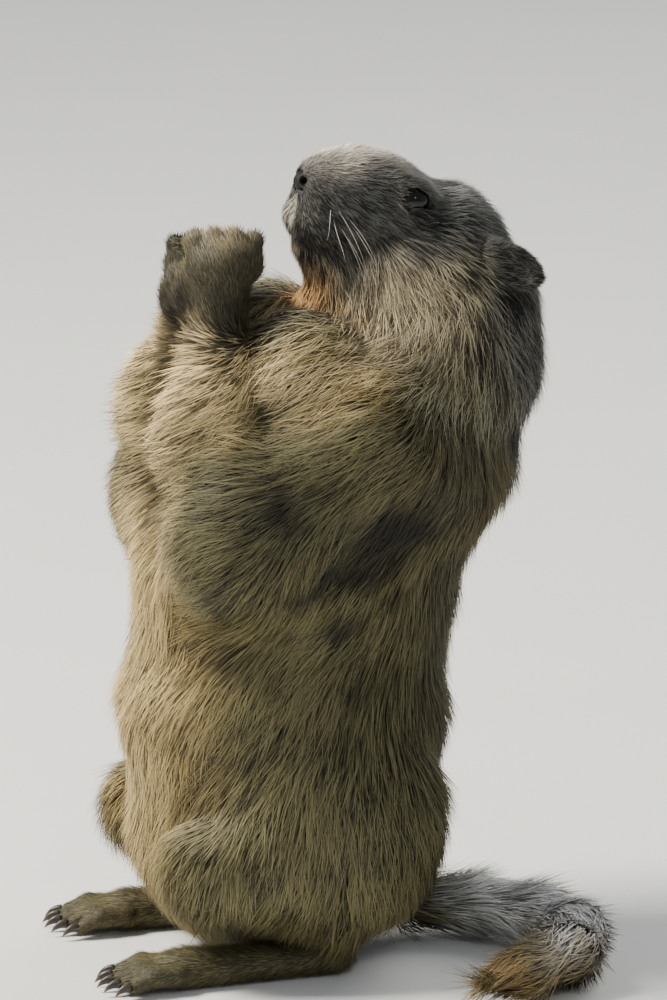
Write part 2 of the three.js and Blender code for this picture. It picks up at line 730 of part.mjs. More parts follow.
// One lock: it walks along the core from its root, and its centre line rises from within the core to
// the tips of the coat, with a flat three-sided section that narrows to a point.
function lock(root, { kind, field }, grow) {
  const at = root.p.clone();
  const points = [];
  let walked = 0;
  for (const ring of LOCK_SHAPE) {
    const normal = normalAt(field, at);
    const way = alongSurface(LIE[kind](at), normal).normalize().applyAxisAngle(normal, root.turn);
    const place = ring.along * root.length + (ring.width === 0 ? 4 * grow : 0);
    at.addScaledVector(way, place - walked);
    walked = place;
    at.addScaledVector(normalAt(field, at), -field(at, 1));
    const up = normalAt(field, at);
    const side = alongSurface(way, up).normalize().cross(up);
    const depth = Math.max(field(at, 1) - field(at, 0), 2);
    const under = at.clone().addScaledVector(up, depth * ring.height - grow);
    if (ring.width === 0) {
      points.push(under);
      continue;
    }
    const across = (root.width / 2) * ring.width + 3 * grow;
    points.push(
      under.clone().addScaledVector(side, across),
      under.clone().addScaledVector(up, ring.thick + 2.5 * grow),
      under.clone().addScaledVector(side, -across),
    );
  }
  const tip = points.length - 1;
  const index = [0, 1, 2];
  for (let ring = 0; ring < LOCK_SHAPE.length - 1; ring++) {
    for (let j = 0; j < 3; j++) {
      const [a, b] = [ring * 3 + j, ring * 3 + ((j + 1) % 3)];
      if (ring === LOCK_SHAPE.length - 2) index.push(b, a, tip);
      else index.push(b, a, a + 3, b, a + 3, b + 3);
    }
  }
  const geometry = new THREE.BufferGeometry().setFromPoints(points);
  geometry.setIndex(index);
  return toSolid(geometry);
}

// Locks nearer the head lie over those behind them, so their pieces come first.
const COAT_ORDER = [
  "head",
  "neck",
  ...SIDES.flatMap(([name]) => [`forearm_${name}`, `upper_arm_${name}`, `thigh_${name}`]),
  "torso",
  ...TAIL_PARTS.map(([name]) => name),
];
// A lock that another piece or its locks cross is shortened, and left out where that isn't enough.
const MOST_CROSSED = 0.03; // of its volume
const SHORTENED = [1, 0.8, 0.62];
const boxed = (solid) => {
  const { min, max } = solid.boundingBox();
  return { solid, box: new THREE.Box3(vec(min), vec(max)) };
};
let laid = [];
for (const name of COAT_ORDER) {
  const { exact, coat } = pieces[name];
  const cores = Object.keys(pieces).filter((other) => other !== name).map((other) => boxed(pieces[other].grown));
  const obstacles = [...cores, ...laid];
  const near = (solid) => obstacles.filter(({ box }) => box.intersectsBox(boxed(solid).box));
  const crossed = (solid) =>
    near(solid).reduce((sum, other) => sum + solid.intersect(other.solid).volume(), 0) / solid.volume();
  const roots = lockRoots(name, coat)
    .map((root) => SHORTENED.map((share) => ({ ...root, length: root.length * share }))
      .find((shorter) => crossed(lock(shorter, coat, 0)) < MOST_CROSSED))
    .filter(Boolean);
  const locks = roots.map((root) => lock(root, coat, 0));
  const coated = cutAll(joinAll([exact, ...locks]), obstacles.map(({ solid }) => solid));
  pieces[name].coated = settled(coated.trimByPlane([0, 0, 1], 0));
  laid = [...laid, ...roots.map((root) => boxed(lock(root, coat, GAP).add(lock(root, coat, 0))))];
}
for (const name of COAT_ORDER) pieces[name].exact = pieces[name].coated;

// The part's frame: its origin is at the middle of the bottom of its bounding box.
const marmot = new THREE.Group();
for (const [name, { exact, material }] of Object.entries(pieces)) {
  const mesh = new THREE.Mesh(toGeometry(exact), material);
  mesh.geometry.computeVertexNormals();
  mesh.name = name;
  marmot.add(mesh);
}
const bounds = new THREE.Box3().setFromObject(marmot);
const middle = bounds.getCenter(new THREE.Vector3());
marmot.position.set(-middle.x, -middle.y, -bounds.min.z);

export default marmot;
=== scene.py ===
# An alpine marmot sitting up on its haunches, nose lifted and both forepaws held before its chin, as
# a still life-size model. Sizes are in the animal's own frame, in millimetres: the ground is z = 0,
# it looks along -y and its left side is +x. place() turns them into the frame's metres.
import math
import bmesh
import bpy
import numpy as np
import openvdb
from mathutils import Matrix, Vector


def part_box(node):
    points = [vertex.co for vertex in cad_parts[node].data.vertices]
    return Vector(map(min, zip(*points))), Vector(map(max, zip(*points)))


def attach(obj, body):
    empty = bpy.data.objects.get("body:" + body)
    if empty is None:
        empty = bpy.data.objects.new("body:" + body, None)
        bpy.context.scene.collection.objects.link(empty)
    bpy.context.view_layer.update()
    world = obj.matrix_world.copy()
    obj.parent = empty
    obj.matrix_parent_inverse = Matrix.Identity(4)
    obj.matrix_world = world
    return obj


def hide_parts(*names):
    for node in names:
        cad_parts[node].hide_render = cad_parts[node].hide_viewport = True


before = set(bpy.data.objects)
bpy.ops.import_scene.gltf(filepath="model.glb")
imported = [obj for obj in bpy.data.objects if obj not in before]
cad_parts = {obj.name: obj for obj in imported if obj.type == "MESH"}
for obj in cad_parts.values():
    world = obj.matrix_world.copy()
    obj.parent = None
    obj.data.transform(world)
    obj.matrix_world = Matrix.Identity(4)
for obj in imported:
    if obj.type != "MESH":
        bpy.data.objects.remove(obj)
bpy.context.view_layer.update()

# The place of the animal
# A marmot has no straight edge to measure from, so its own frame hangs on its two eyes, midway between
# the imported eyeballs. The head tips up about the same point, and the ground stays the ground.
MM = 0.001
EYES = np.array([0, 46.7, 351])  # the middle of the eyes, where the head's axes start
NOSE_LIFT = math.radians(29)
EYE = {"across": 22.5, "forward": -1, "up": -2, "radius": 7}


def from_head(q):
    across, forward, up = np.moveaxis(np.asarray(q, float), -1, 0)
    c, s = math.cos(NOSE_LIFT), math.sin(NOSE_LIFT)
    return EYES + np.stack([across, s * up - c * forward, s * forward + c * up], -1)


def in_head(p):
    x, y, z = np.moveaxis(p - EYES, -1, 0)
    c, s = math.cos(NOSE_LIFT), math.sin(NOSE_LIFT)
    return np.stack([x, s * z - c * y, s * y + c * z], -1)


def head_way(q):
    return from_head(q) - EYES


def on_side(p, side):
    return np.asarray(p, float) * np.array([side, 1, 1])


eye_corners = np.array([c for name in ("eye_left", "eye_right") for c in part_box(name)])
eye_middle = (eye_corners[0::2].min(0) + eye_corners[1::2].max(0)) / 2 / MM
own_middle = from_head([0, EYE["forward"], EYE["up"]])
SHIFT = np.array([eye_middle[0] - own_middle[0], eye_middle[1] - own_middle[1], 0])


def place(p):
    return (np.asarray(p, float) + SHIFT) * MM


# The view and the light
# A long lens looks at the left side from a little above. The floor is pale and plain, and the light is
# soft: a warm key from above the animal's front, a small weak fill from behind the camera, a rim lamp
# from behind the animal, and a pale room.
VIEW = {"azimuth": 75, "elevation": 14, "distance": 5.0, "lens": 400, "sensor": 36}
AIM = [3.9, 14.6, 208.4]  # what the middle of the picture shows


def away(azimuth, elevation):
    a, e = math.radians(azimuth), math.radians(elevation)
    return Vector((math.sin(a) * math.cos(e), -math.cos(a) * math.cos(e), math.sin(e)))


def show(data, name):
    obj = bpy.data.objects.new(name, data)
    bpy.context.scene.collection.objects.link(obj)
    return obj


def aimed(obj, azimuth, elevation, distance):
    back = away(azimuth, elevation)
    obj.location = Vector(place(AIM)) + back * distance
    obj.rotation_euler = (-back).to_track_quat("-Z", "Y").to_euler()
    return obj


camera_data = bpy.data.cameras.new("camera")
camera_data.lens = VIEW["lens"]
camera_data.sensor_width = VIEW["sensor"]
camera_data.clip_end = 50
bpy.context.scene.camera = aimed(show(camera_data, "camera"), VIEW["azimuth"], VIEW["elevation"],
                                 VIEW["distance"])

LIGHTS = {  # azimuth, elevation, distance and size in metres, watts, colour
    "key": (-14, 50, 2.2, 0.8, 125, (1.0, 0.95, 0.86)),
    "fill": (88, 30, 2.6, 0.5, 9, (0.92, 0.96, 1.0)),  # small enough to stay a spark in the eye
    "rim": (215, 40, 2.4, 1.4, 24, (1.0, 0.97, 0.92)),
}
for name, (azimuth, elevation, distance, size, watts, colour) in LIGHTS.items():
    data = bpy.data.lights.new(name, "AREA")
    data.size = size
    data.energy = watts
    data.color = colour
    aimed(show(data, name), azimuth, elevation, distance)

room = bpy.data.worlds.new("room")
room.use_nodes = True
sky = room.node_tree.nodes["Background"]
sky.inputs["Color"].default_value = (0.86, 0.9, 0.95, 1)
sky.inputs["Strength"].default_value = 0.45
bpy.context.scene.world = room


def linear(*rgb):
    """A colour as seen on a screen, 0 to 255, as Blender's linear colour."""
    return tuple(((v / 255 + 0.055) / 1.055) ** 2.4 if v > 10 else v / 255 / 12.92 for v in rgb) + (1.0,)


def add_node(tree, kind, inputs=None, **settings):
    node = tree.nodes.new(kind)
    for name, value in settings.items():
        setattr(node, name, value)
    for name, value in (inputs or {}).items():
        socket = node.inputs[name]
        if isinstance(name, str):
            socket = next(s for s in node.inputs if s.name == name and s.enabled)
        if isinstance(value, bpy.types.NodeSocket):
            tree.links.new(value, socket)
        else:
            socket.default_value = value
    return node


def first(node):
    return next(s for s in node.outputs if s.enabled)


def maths(tree, operation, *values):
    return first(add_node(tree, "ShaderNodeMath", dict(enumerate(values)), operation=operation))


def vectors(tree, operation, *values):
    inputs = dict(enumerate(values))
    if operation == "SCALE":
        inputs = {0: values[0], "Scale": values[1]}
    return first(add_node(tree, "ShaderNodeVectorMath", inputs, operation=operation))


def mixed(tree, share, a, b):
    return add_node(tree, "ShaderNodeMix", {0: share, 6: a, 7: b}, data_type="RGBA").outputs[2]


def ranged(tree, value, low, high, most=1.0, **settings):
    """Rises from nothing at low to the most at high."""
    sizes = {"Value": value, "From Min": low, "From Max": high, "To Max": most}
    return add_node(tree, "ShaderNodeMapRange", sizes, **settings).outputs[0]


def own_spot(tree):
    return add_node(tree, "ShaderNodeTexCoord").outputs["Object"]


def noise(tree, scale, detail=2.0):
    sizes = {"Vector": own_spot(tree), "Scale": scale, "Detail": detail}
    return first(add_node(tree, "ShaderNodeTexNoise", sizes))


def material(name, **principled):
    made = bpy.data.materials.new(name)
    made.use_nodes = True
    shader = made.node_tree.nodes["Principled BSDF"]
    for socket, value in principled.items():
        shader.inputs[socket.replace("_", " ").title().replace("Ior", "IOR")].default_value = value
    return made, made.node_tree, shader


def coloured(tree, shader, colour):
    tree.links.new(colour, shader.inputs["Base Color"])


def bump(tree, shader, height, strength, distance):
    node = add_node(tree, "ShaderNodeBump", {"Height": height, "Strength": strength, "Distance": distance})
    tree.links.new(node.outputs["Normal"], shader.inputs["Normal"])


floor_paint, tree, shader = material("floor_paint", roughness=0.85)
coloured(tree, shader, mixed(tree, noise(tree, 9.0, 3.0), linear(222, 223, 220), linear(230, 230, 226)))
FLOOR_HALF = 15  # metres
floor_corners = [(x * FLOOR_HALF, y * FLOOR_HALF, 0) for x, y in ((-1, -1), (1, -1), (1, 1), (-1, 1))]
floor_mesh = bpy.data.meshes.new("floor")
floor_mesh.from_pydata(floor_corners, [], [(0, 1, 2, 3)])
floor_mesh.materials.append(floor_paint)
show(floor_mesh, "floor")

# Skin
# One hide covers the whole body, head and limbs. It is made as rounded masses that flow into one
# another, and lies inside the coat by the depth that the hair stands from it.
LONG_COAT = 8  # deeper coats than this stand on a core half way to their tips


def skin_depth(coat):
    return coat / 2 if coat > LONG_COAT else coat


def size_of(v):
    return np.sqrt(np.einsum("...i,...i->...", v, v))


def unit(v):
    return v / np.maximum(size_of(v), 1e-9)[..., None]


# A form is its distance at each point, and there the coat's depth and the way the hair lies.
def traits(p, coat, lie):
    way = lie(p) if callable(lie) else np.broadcast_to(np.asarray(lie, float), p.shape)
    return np.concatenate([np.full((len(p), 1), float(coat)), unit(way)], 1)


def mass(p, centre, half, coat, lie, full):
    q = (p - centre) / half
    share = size_of(q)
    distance = share * (share - 1) / np.maximum(size_of(q / half), 1e-9) + skin_depth(coat)
    return distance, traits(p, coat, lie) if full else None


def cone(p, a, b, radius_a, radius_b, coat, lie, full):
    a, b = np.asarray(a, float), np.asarray(b, float)
    t = np.clip((p - a) @ (b - a) / ((b - a) @ (b - a)), 0, 1)
    distance = size_of(p - a - t[:, None] * (b - a)) - radius_a - (radius_b - radius_a) * t
    return distance + skin_depth(coat), traits(p, coat, lie) if full else None


def join(forms, k):
    """Forms flow into one another over about k millimetres."""
    distance, kept = forms[0]
    for other, more in forms[1:]:
        if kept is not None:
            share = np.clip(0.5 + (distance - other) / (2 * max(k, 8)), 0, 1)[:, None]
            kept = kept + (more - kept) * share
        h = np.maximum(k - np.abs(distance - other), 0) / k
        distance = np.minimum(distance, other) - h * h * k / 4
    return distance, kept


def carve(distance, tool, k):
    """Cuts a tool's shape out of a form, over about k millimetres."""
    h = np.maximum(k - np.abs(distance + tool), 0) / k
    return np.maximum(distance, -tool) + h * h * k / 4


def in_pair(masses):
    """Each mass and its mirror."""
    return [m for c, h, coat in masses for m in ((c, h, coat), ((-c[0], c[1], c[2]), h, coat))]


TORSO = [  # centre, half sizes out to the tips of the coat, and the coat's depth
    ((0, -9, 54), (64, 70, 57), 16),
    ((0, -8, 112), (71, 77, 66), 16),
    ((0, -2, 172), (64, 76, 58), 16),
    ((0, 34, 228), (66, 66, 55), 16),
]
NECK = [
    ((0, 55, 270), (57, 57, 48), 16), ((0, 60, 298), (47, 50, 40), 14),
    *in_pair([((26, 0, 280), (28, 28, 27), 16)]), ((0, 20, 300), (19, 19, 27), 10),
]
HEAD = [  # across, forward and up from the middle of the eyes
    ((0, -28, -16), (37, 34, 32), 7),
    ((0, 7, -12.5), (28, 35, 26), 4),
    *in_pair([((17, -21, -30), (24, 30, 25), 12)]),
    ((0, 22, -19.5), (20, 23, 24), 3),
    ((0, 36.5, -15.5), (11.5, 9, 9.5), 1.5),
    *in_pair([((8, 30, -33), (11.5, 11, 9.5), 2)]),
    ((0, 20, -45), (13, 13, 9), 3),
    ((0, -3, -43), (24, 25, 15), 6),
    *in_pair([((19, 0, 3), (9, 12, 5.5), 2)]),
]
ARM = {"shoulder": (46, 22, 246), "elbow": (49, -41, 201), "wrist": (22, -44, 285),
       "radii": (34, 26.5, 18.5)}
FRINGE = ((34, -50, 250), (21, 26, 38))
THIGH = ((47, 4, 70), (37, 54, 58))
KNEE = {"line": ((52, -54, 58), (51, -40, 60)), "radii": (27, 30)}
SOLE = {"line": ((47, 4, 9), (50, -68, 10)), "radii": (11, 15), "coat": 3.4, "flatness": 1.25}
ANKLE = {"line": ((47, 3, 13), (49, 0, 34)), "radii": (12, 17), "coat": 4}
TOES = 5
TOE = {"root": -72, "reach": 25, "radii": (6.2, 5.6, 4.6), "coat": 1.6}
KNUCKLES = (20, -41, 312)
PALM = [((20.5, -40, 315), (11.5, 19, 13)), ((11, -48, 303), (10, 17, 18))]
PALM_RADII = (13.5, 15.5)
PALM_COAT = 3
PAW_LIFT = {1: 8, -1: 0}  # the left paw is held a little higher
FINGERS = 4
FINGER = {"first": -53, "apart": 9.2, "height": 319, "radii": (6.6, 6, 4.6), "coat": 2.2}
FUR, FOREARM_FUR = 16, 13  # how deep the long coat is
FLOW = {  # over how many millimetres forms run into one another
    "torso": 26, "neck": 16, "neck_to_torso": 18, "skull": 9, "elbow": 36, "fringe": 8, "knee": 24,
    "digit": 2, "ankle": 6, "toes": 1.5, "toes_to_foot": 3, "palm": 6, "fingers": 4, "fingers_to_palm": 5,
    "tail": 6, "ear_rim": 1.5, "head": 14, "arm": 26, "haunch": 14, "foot": 7, "paw": 5, "ear": 4,
    "tail_root": 8,
}
TAIL_LINE = [  # place and radius to the tips of the coat
    ((0, 50, 17), 18), ((8, 78, 16), 19), ((32, 100, 16.5), 20.5), ((64, 108, 17), 21),
    ((95, 99, 17), 20), ((117, 76, 16), 15), ((125, 58, 15), 8),
]
TAIL_FLATNESS = 0.8
TAIL_COAT = 0.42  # of its radius
NOSE_TIP = from_head([0, 46, -17])


def smooth_share(low, high, value):
    t = np.clip((value - low) / (high - low), 0, 1)
    return t * t * (3 - 2 * t)


# The lie of the coat on each part
def trunk_lie(p):
    """Down the back, and slanting forward over the shoulder and the flank."""
    height = p[:, 2]
    slant = np.interp(height, [60, 120, 190, 240, 285, 330], [12, 32, 44, 58, 64, 40])
    slant = slant * smooth_share(88, 34, p[:, 1]) * smooth_share(8, 40, np.abs(p[:, 0]))
    angle = np.radians(slant + 5 * np.sin(p[:, 2] / 13 + p[:, 1] / 19))
    return np.stack([0.004 * p[:, 0], -np.sin(angle), -np.cos(angle)], 1)


def arm_lie(p):
    """Forward over the forearm, steeper towards the elbow, and swept to the animal's right on both."""
    angle = np.radians(np.interp(p[:, 2], [150, 200, 245, 275, 300], [30, 46, 62, 44, 0]))
    return np.stack([0 * p[:, 0] - 0.6, -np.sin(angle), -np.cos(angle)], 1)


def head_lie(p):
    away_from_nose = unit(p - NOSE_TIP)
    return away_from_nose + 0.5 * head_way([0, -1, -0.35])


def thigh_lie(p):
    return np.stack([0 * p[:, 0], -0.35 * smooth_share(40, -50, p[:, 1]), -np.ones(len(p))], 1)


def tail_lie(p):
    ways = np.zeros_like(p)
    for (a, _), (b, _) in zip(TAIL_LINE[:-1], TAIL_LINE[1:]):
        a, b = np.array(a, float), np.array(b, float)
        nearness = np.exp(-size_of(p - (a + b) / 2) / 12)
        ways += nearness[:, None] * unit(b - a)
    return ways


def trunk(p, full):
    torso = join([mass(p, *m, trunk_lie, full) for m in TORSO], FLOW["torso"])
    neck = join([mass(p, *m, trunk_lie, full) for m in NECK], FLOW["neck"])
    return join([torso, neck], FLOW["neck_to_torso"])


def skull(p, full):
    q = in_head(p)
    forms = []
    for centre, half, coat in HEAD:
        distance, _ = mass(q, centre, half, coat, None, False)
        forms.append((distance, traits(p, coat, head_lie) if full else None))
    return join(forms, FLOW["skull"])


def arm(p, side, full):
    s, e, w = (on_side(ARM[joint], side) for joint in ("shoulder", "elbow", "wrist"))
    upper = cone(p, s, e, *ARM["radii"][:2], FUR, arm_lie, full)
    lower = cone(p, e, w, *ARM["radii"][1:], FOREARM_FUR, arm_lie, full)
    fringe = mass(p, on_side(FRINGE[0], side), FRINGE[1], FUR, arm_lie, full)
    return join([join([upper, lower], FLOW["elbow"]), fringe], FLOW["fringe"])


def bone(p, part, side, coat, lie, full):
    a, b = (on_side(q, side) for q in part["line"])
    return cone(p, a, b, *part["radii"], coat, lie, full)


def haunch(p, side, full):
    thigh = mass(p, on_side(THIGH[0], side), THIGH[1], FUR, thigh_lie, full)
    return join([thigh, bone(p, KNEE, side, FUR, thigh_lie, full)], FLOW["knee"])


def toe(i, side):
    spread = (i - (TOES - 1) / 2) / 2
    reach = TOE["reach"] - 4 * spread * spread
    line = [(50 + 11 * spread, TOE["root"], 8), (50 + 13 * spread, TOE["root"] - 0.55 * reach, 9),
            (50 + 15 * spread, TOE["root"] - reach, 5.5)]
    return [on_side(q, side) for q in line]


def finger(i, side):
    y = FINGER["first"] + FINGER["apart"] * i
    z = FINGER["height"] + PAW_LIFT[side] + 3.5 * math.sin(math.pi * (i + 0.7) / FINGERS)
    line = [(20, 0.85 * y - 6, z - 6), (16, y, z + 5), (6.5, y + 1.5, z - 1)]
    return [on_side(q, side) for q in line]


def digit(p, line, sort, lie, full):
    joints = list(zip(line[:-1], line[1:], sort["radii"][:-1], sort["radii"][1:]))
    return join([cone(p, a, b, ra, rb, sort["coat"], unit(b - a) + lie, full) for a, b, ra, rb in joints],
                FLOW["digit"])


def foot(p, side, full):
    low = p * (1, 1, SOLE["flatness"])
    distance, kept = bone(low, SOLE, side, SOLE["coat"], (0.05 * side, -1, -0.1), full)
    ankle = bone(p, ANKLE, side, ANKLE["coat"], (0, -0.5, -0.8), full)
    toes = [digit(p, toe(i, side), TOE, np.array([0, -0.3, -0.1]), full) for i in range(TOES)]
    return join([join([(distance * 0.85, kept), ankle], FLOW["ankle"]), join(toes, FLOW["toes"])],
                FLOW["toes_to_foot"])


def paw(p, side, full):
    lift = np.array([0, 0, PAW_LIFT[side]])
    up = (0.1 * side, -0.35, 1)
    wrist, knuckles = on_side(ARM["wrist"], side), on_side(KNUCKLES + lift, side)
    palm = join([cone(p, wrist, knuckles, *PALM_RADII, PALM_COAT, up, full),
                 *(mass(p, on_side(at + lift, side), half, PALM_COAT, up, full) for at, half in PALM)],
                FLOW["palm"])
    fingers = [digit(p, finger(i, side), FINGER, np.zeros(3), full) for i in range(FINGERS)]
    return join([palm, join(fingers, FLOW["fingers"])], FLOW["fingers_to_palm"])


def tail(p, full):
    squat = np.array([1, 1, 1 / TAIL_FLATNESS])
    forms = []
    for (a, ra), (b, rb) in zip(TAIL_LINE[:-1], TAIL_LINE[1:]):
        distance, _ = cone(p * squat, a * squat, b * squat, ra, rb, 0, None, False)
        flesh = distance * TAIL_FLATNESS + TAIL_COAT * (ra + rb) / 2
        forms.append((flesh, traits(p, FUR, tail_lie) if full else None))
    return join(forms, FLOW["tail"])


# Ears: low round cups that lie back along the head.
EAR = {"at": (36, -51, -8), "half": (6, 16, 10), "bowl": (5.5, 12, 7.5), "sunk": (5, 1.5, -0.5),
       "tilt": 0.32}


def in_ear(p, side, offset=(0, 0, 0)):
    q = in_head(p) * (side, 1, 1) - np.array(EAR["at"]) - np.array(offset)
    c, s = math.cos(EAR["tilt"]), math.sin(EAR["tilt"])
    return np.stack([c * q[:, 0] + s * q[:, 1], c * q[:, 1] - s * q[:, 0], q[:, 2]], 1)


def ear(p, side, full):
    cup, _ = mass(in_ear(p, side), (0, 0, 0), np.array(EAR["half"]) - 0.6, 0, None, False)
    bowl, _ = mass(in_ear(p, side, EAR["sunk"]), (0, 0, 0), EAR["bowl"], 0, None, False)
    cupped = carve(cup, bowl, FLOW["ear_rim"])
    return cupped, traits(p, 2, head_way([0.2 * side, -1, 0.35])) if full else None


# Eyes' openings, the nose's bed and the mouth's line are cut from the skin.
def eye_centre(side):
    return from_head([EYE["across"] * side, EYE["forward"], EYE["up"]])


def eye_axes(side):
    out = unit(head_way([0.93 * side, 0.27, 0.24]))
    forward = head_way([0, 1, -0.2])
    corner = unit(forward - forward @ out * out)
    return out, corner, np.cross(out, corner) * side


LID = {"thickness": 1.3, "half": (6.5, 7.4, 4.1)}
NOSE_PAD = {"at": (0, 40, -18), "half": (8.6, 5.6, 5.6)}
MOUTH = {"up": -41.5, "corner": 16, "height": 1.1, "inner": (15, 40)}
LIP_GROOVE = {"up": -32, "front": 41, "half": 0.6}


def with_features(p, distance):
    for side in (1, -1):
        centre = eye_centre(side)
        out, corner, brow = eye_axes(side)
        ball = size_of(p - centre)
        lids = ball - EYE["radius"] - LID["thickness"]
        distance = join([(distance, None), (lids, None)], 4)[0]
        local = np.stack([(p - centre) @ axis for axis in (out, corner, brow)], 1) - (EYE["radius"], 0, 0)
        opening, _ = mass(local, (0, 0, 0), LID["half"], 0, None, False)
        distance = carve(carve(distance, opening, 1.2), ball - EYE["radius"] - 0.2, 0.4)
    q = in_head(p)
    bed, _ = mass(q, NOSE_PAD["at"], np.array(NOSE_PAD["half"]) + 0.2, 0, None, False)
    distance = carve(distance, bed, 0.6)
    inner = np.hypot(q[:, 0] / MOUTH["inner"][0], q[:, 1] / MOUTH["inner"][1]) * 15 - 15
    level = np.abs(q[:, 2] - MOUTH["up"]) - MOUTH["height"] / 2
    slit = np.maximum.reduce([level, MOUTH["corner"] - q[:, 1], -inner])
    groove = np.maximum.reduce([np.abs(q[:, 0]) - LIP_GROOVE["half"], np.abs(q[:, 2] - LIP_GROOVE["up"]) - 8,
                                LIP_GROOVE["front"] - q[:, 1]])
    return carve(carve(distance, slit, 1.0), groove, 1.0)


def near(p, low, high, form, full, far=40.0):
    """Works a form out only inside a box, as it counts for nothing further off."""
    inside = np.all((p > low) & (p < high), axis=1)
    distance = np.full(len(p), far)
    kept = np.zeros((len(p), 4)) if full else None
    if inside.any():
        distance[inside], found = form(p[inside])
        if full:
            kept[inside] = found
    return distance, kept


ARM_BOX = ((-6, -90, 140), (110, 80, 320))
PAIRED = [  # form, the box it lies in on the left side, and how it flows into the body
    (haunch, ((-6, -110, -20), (110, 90, 160)), FLOW["haunch"]),
    (foot, ((-6, -115, -20), (110, 40, 60)), FLOW["foot"]),
    (paw, ((-6, -80, 265), (110, 5, 350)), FLOW["paw"]),
    (ear, ((15, 60, 290), (70, 125, 360)), FLOW["ear"]),
]


def near_side(p, form, box, side, full):
    """A form of one side, worked out only inside its box."""
    low, high = box if side > 0 else ((-box[1][0], *box[0][1:]), (-box[0][0], *box[1][1:]))
    return near(p, low, high, lambda q: form(q, side, full), full)


def skin_field(p, full=False):
    body = trunk(p, full)
    head = near(p, (-60, -20, 260), (60, 140, 400), lambda q: skull(q, full), full)
    bare_body = join([body, head], FLOW["head"])
    armed = [join([bare_body, near_side(p, arm, ARM_BOX, side, full)], FLOW["arm"]) for side in (1, -1)]
    form = join(armed, 0.5)
    for side in (1, -1):
        for part, box, flow in PAIRED:
            form = join([form, near_side(p, part, box, side, full)], flow)
    tail_there = near(p, (-40, 20, -20), (160, 150, 60), lambda q: tail(q, full), full)
    distance, kept = join([form, tail_there], FLOW["tail_root"])
    front = np.all((p > (-45, -25, 285)) & (p < (45, 75, 385)), axis=1)
    if front.any():
        distance[front] = with_features(p[front], distance[front])
    return np.maximum(distance, 0.5 - p[:, 2]), kept


def slope_at(p, step=0.4):
    ways = np.eye(3) * step
    return np.stack([skin_field(p + w)[0] - skin_field(p - w)[0] for w in ways], 1) / (2 * step)


GRID = 2.3  # the skin's first net, halved where the form is fine
SKIN_BOX = ((-90, -112, -4), (150, 140, 380))
axes = [np.arange(lo, hi, GRID) for lo, hi in zip(*SKIN_BOX)]
points = np.stack(np.meshgrid(*axes, indexing="ij"), -1).reshape(-1, 3)
volume = openvdb.FloatGrid(30.0)
volume.copyFromArray(skin_field(points)[0].reshape([len(a) for a in axes]).astype(np.float32))
net, quads = volume.convertToQuads(isovalue=0.0)
net = net * GRID + np.array(SKIN_BOX[0])

hide = bmesh.new()
for p in net:
    hide.verts.new(p)
hide.verts.ensure_lookup_table()
for quad in quads[:, ::-1]:
    hide.faces.new([hide.verts[i] for i in quad])


def settle(tree, rounds=3):
    """Draws every point of the net onto the form."""
    p = np.array([v.co for v in tree.verts])
    for _ in range(rounds):
        slope = slope_at(p)
        p -= (skin_field(p)[0] / np.maximum(np.einsum("ij,ij->i", slope, slope), 0.2))[:, None] * slope
    for v, q in zip(tree.verts, p):
        v.co = q


def refine(tree, wanted):
    edges = [e for e in tree.edges if wanted(*((e.verts[0].co + e.verts[1].co) / 2))]
    bmesh.ops.subdivide_edges(tree, edges=edges, cuts=1, use_grid_fill=True)


def on_head(x, y, z):
    return z > 300 and y < 62 or (z > 296 and -66 < y < -20) or (abs(x) > 24 and z > 300 and y < 110)


def on_features(x, y, z):
    q = np.array([x, y, z])
    near_eye = min(size_of(q - eye_centre(side)) for side in (1, -1)) < 12
    near_mouth = abs(in_head(q)[2] - MOUTH["up"]) < 3 and y < 45 and z > 290
    return near_eye or size_of(q - NOSE_TIP) < 13 or near_mouth


settle(hide, 1)
refine(hide, on_head)
settle(hide, 1)
refine(hide, on_features)
settle(hide)
bmesh.ops.triangulate(hide, faces=[f for f in hide.faces if len(f.verts) > 4])
bmesh.ops.recalc_face_normals(hide, faces=hide.faces)
own_points = np.array([v.co for v in hide.verts])
for v, q in zip(hide.verts, place(own_points)):
    v.co = q
skin_mesh = bpy.data.meshes.new("skin")
hide.to_mesh(skin_mesh)
hide.free()
skin_mesh.shade_smooth()
skin = show(skin_mesh, "skin")

# The coat's own measures are kept on the skin: where it grows, how long and high, and which way.
own_normals = unit(slope_at(own_points))
_, kept = skin_field(own_points, True)
coat_depth = kept[:, 0]
lie = unit(kept[:, 1:] - np.einsum("ij,ij->i", kept[:, 1:], own_normals)[:, None] * own_normals)
hair_length = 1.6 * coat_depth + 0.8
hair_rise = np.where(coat_depth > LONG_COAT, coat_depth / 2, coat_depth * 0.75)
walk = 0.6 * hair_length
bend = 2 * skin_field(own_points + lie * walk[:, None])[0] / walk**2  # how fast the skin falls away


def keep(mesh, name, values, kind="FLOAT"):
    layer = mesh.attributes.new(name, kind, "POINT")
    numbers = np.ascontiguousarray(values, dtype=np.int32 if kind == "INT" else np.float32)
    layer.data.foreach_set("vector" if kind == "FLOAT_VECTOR" else "value", numbers.ravel())


REGIONS = ["face", "crown", "ruff", "nape", "flank_left", "flank_right", "belly", "rump",
           "arm_left", "arm_right", "haunch", "tail", "feet"]


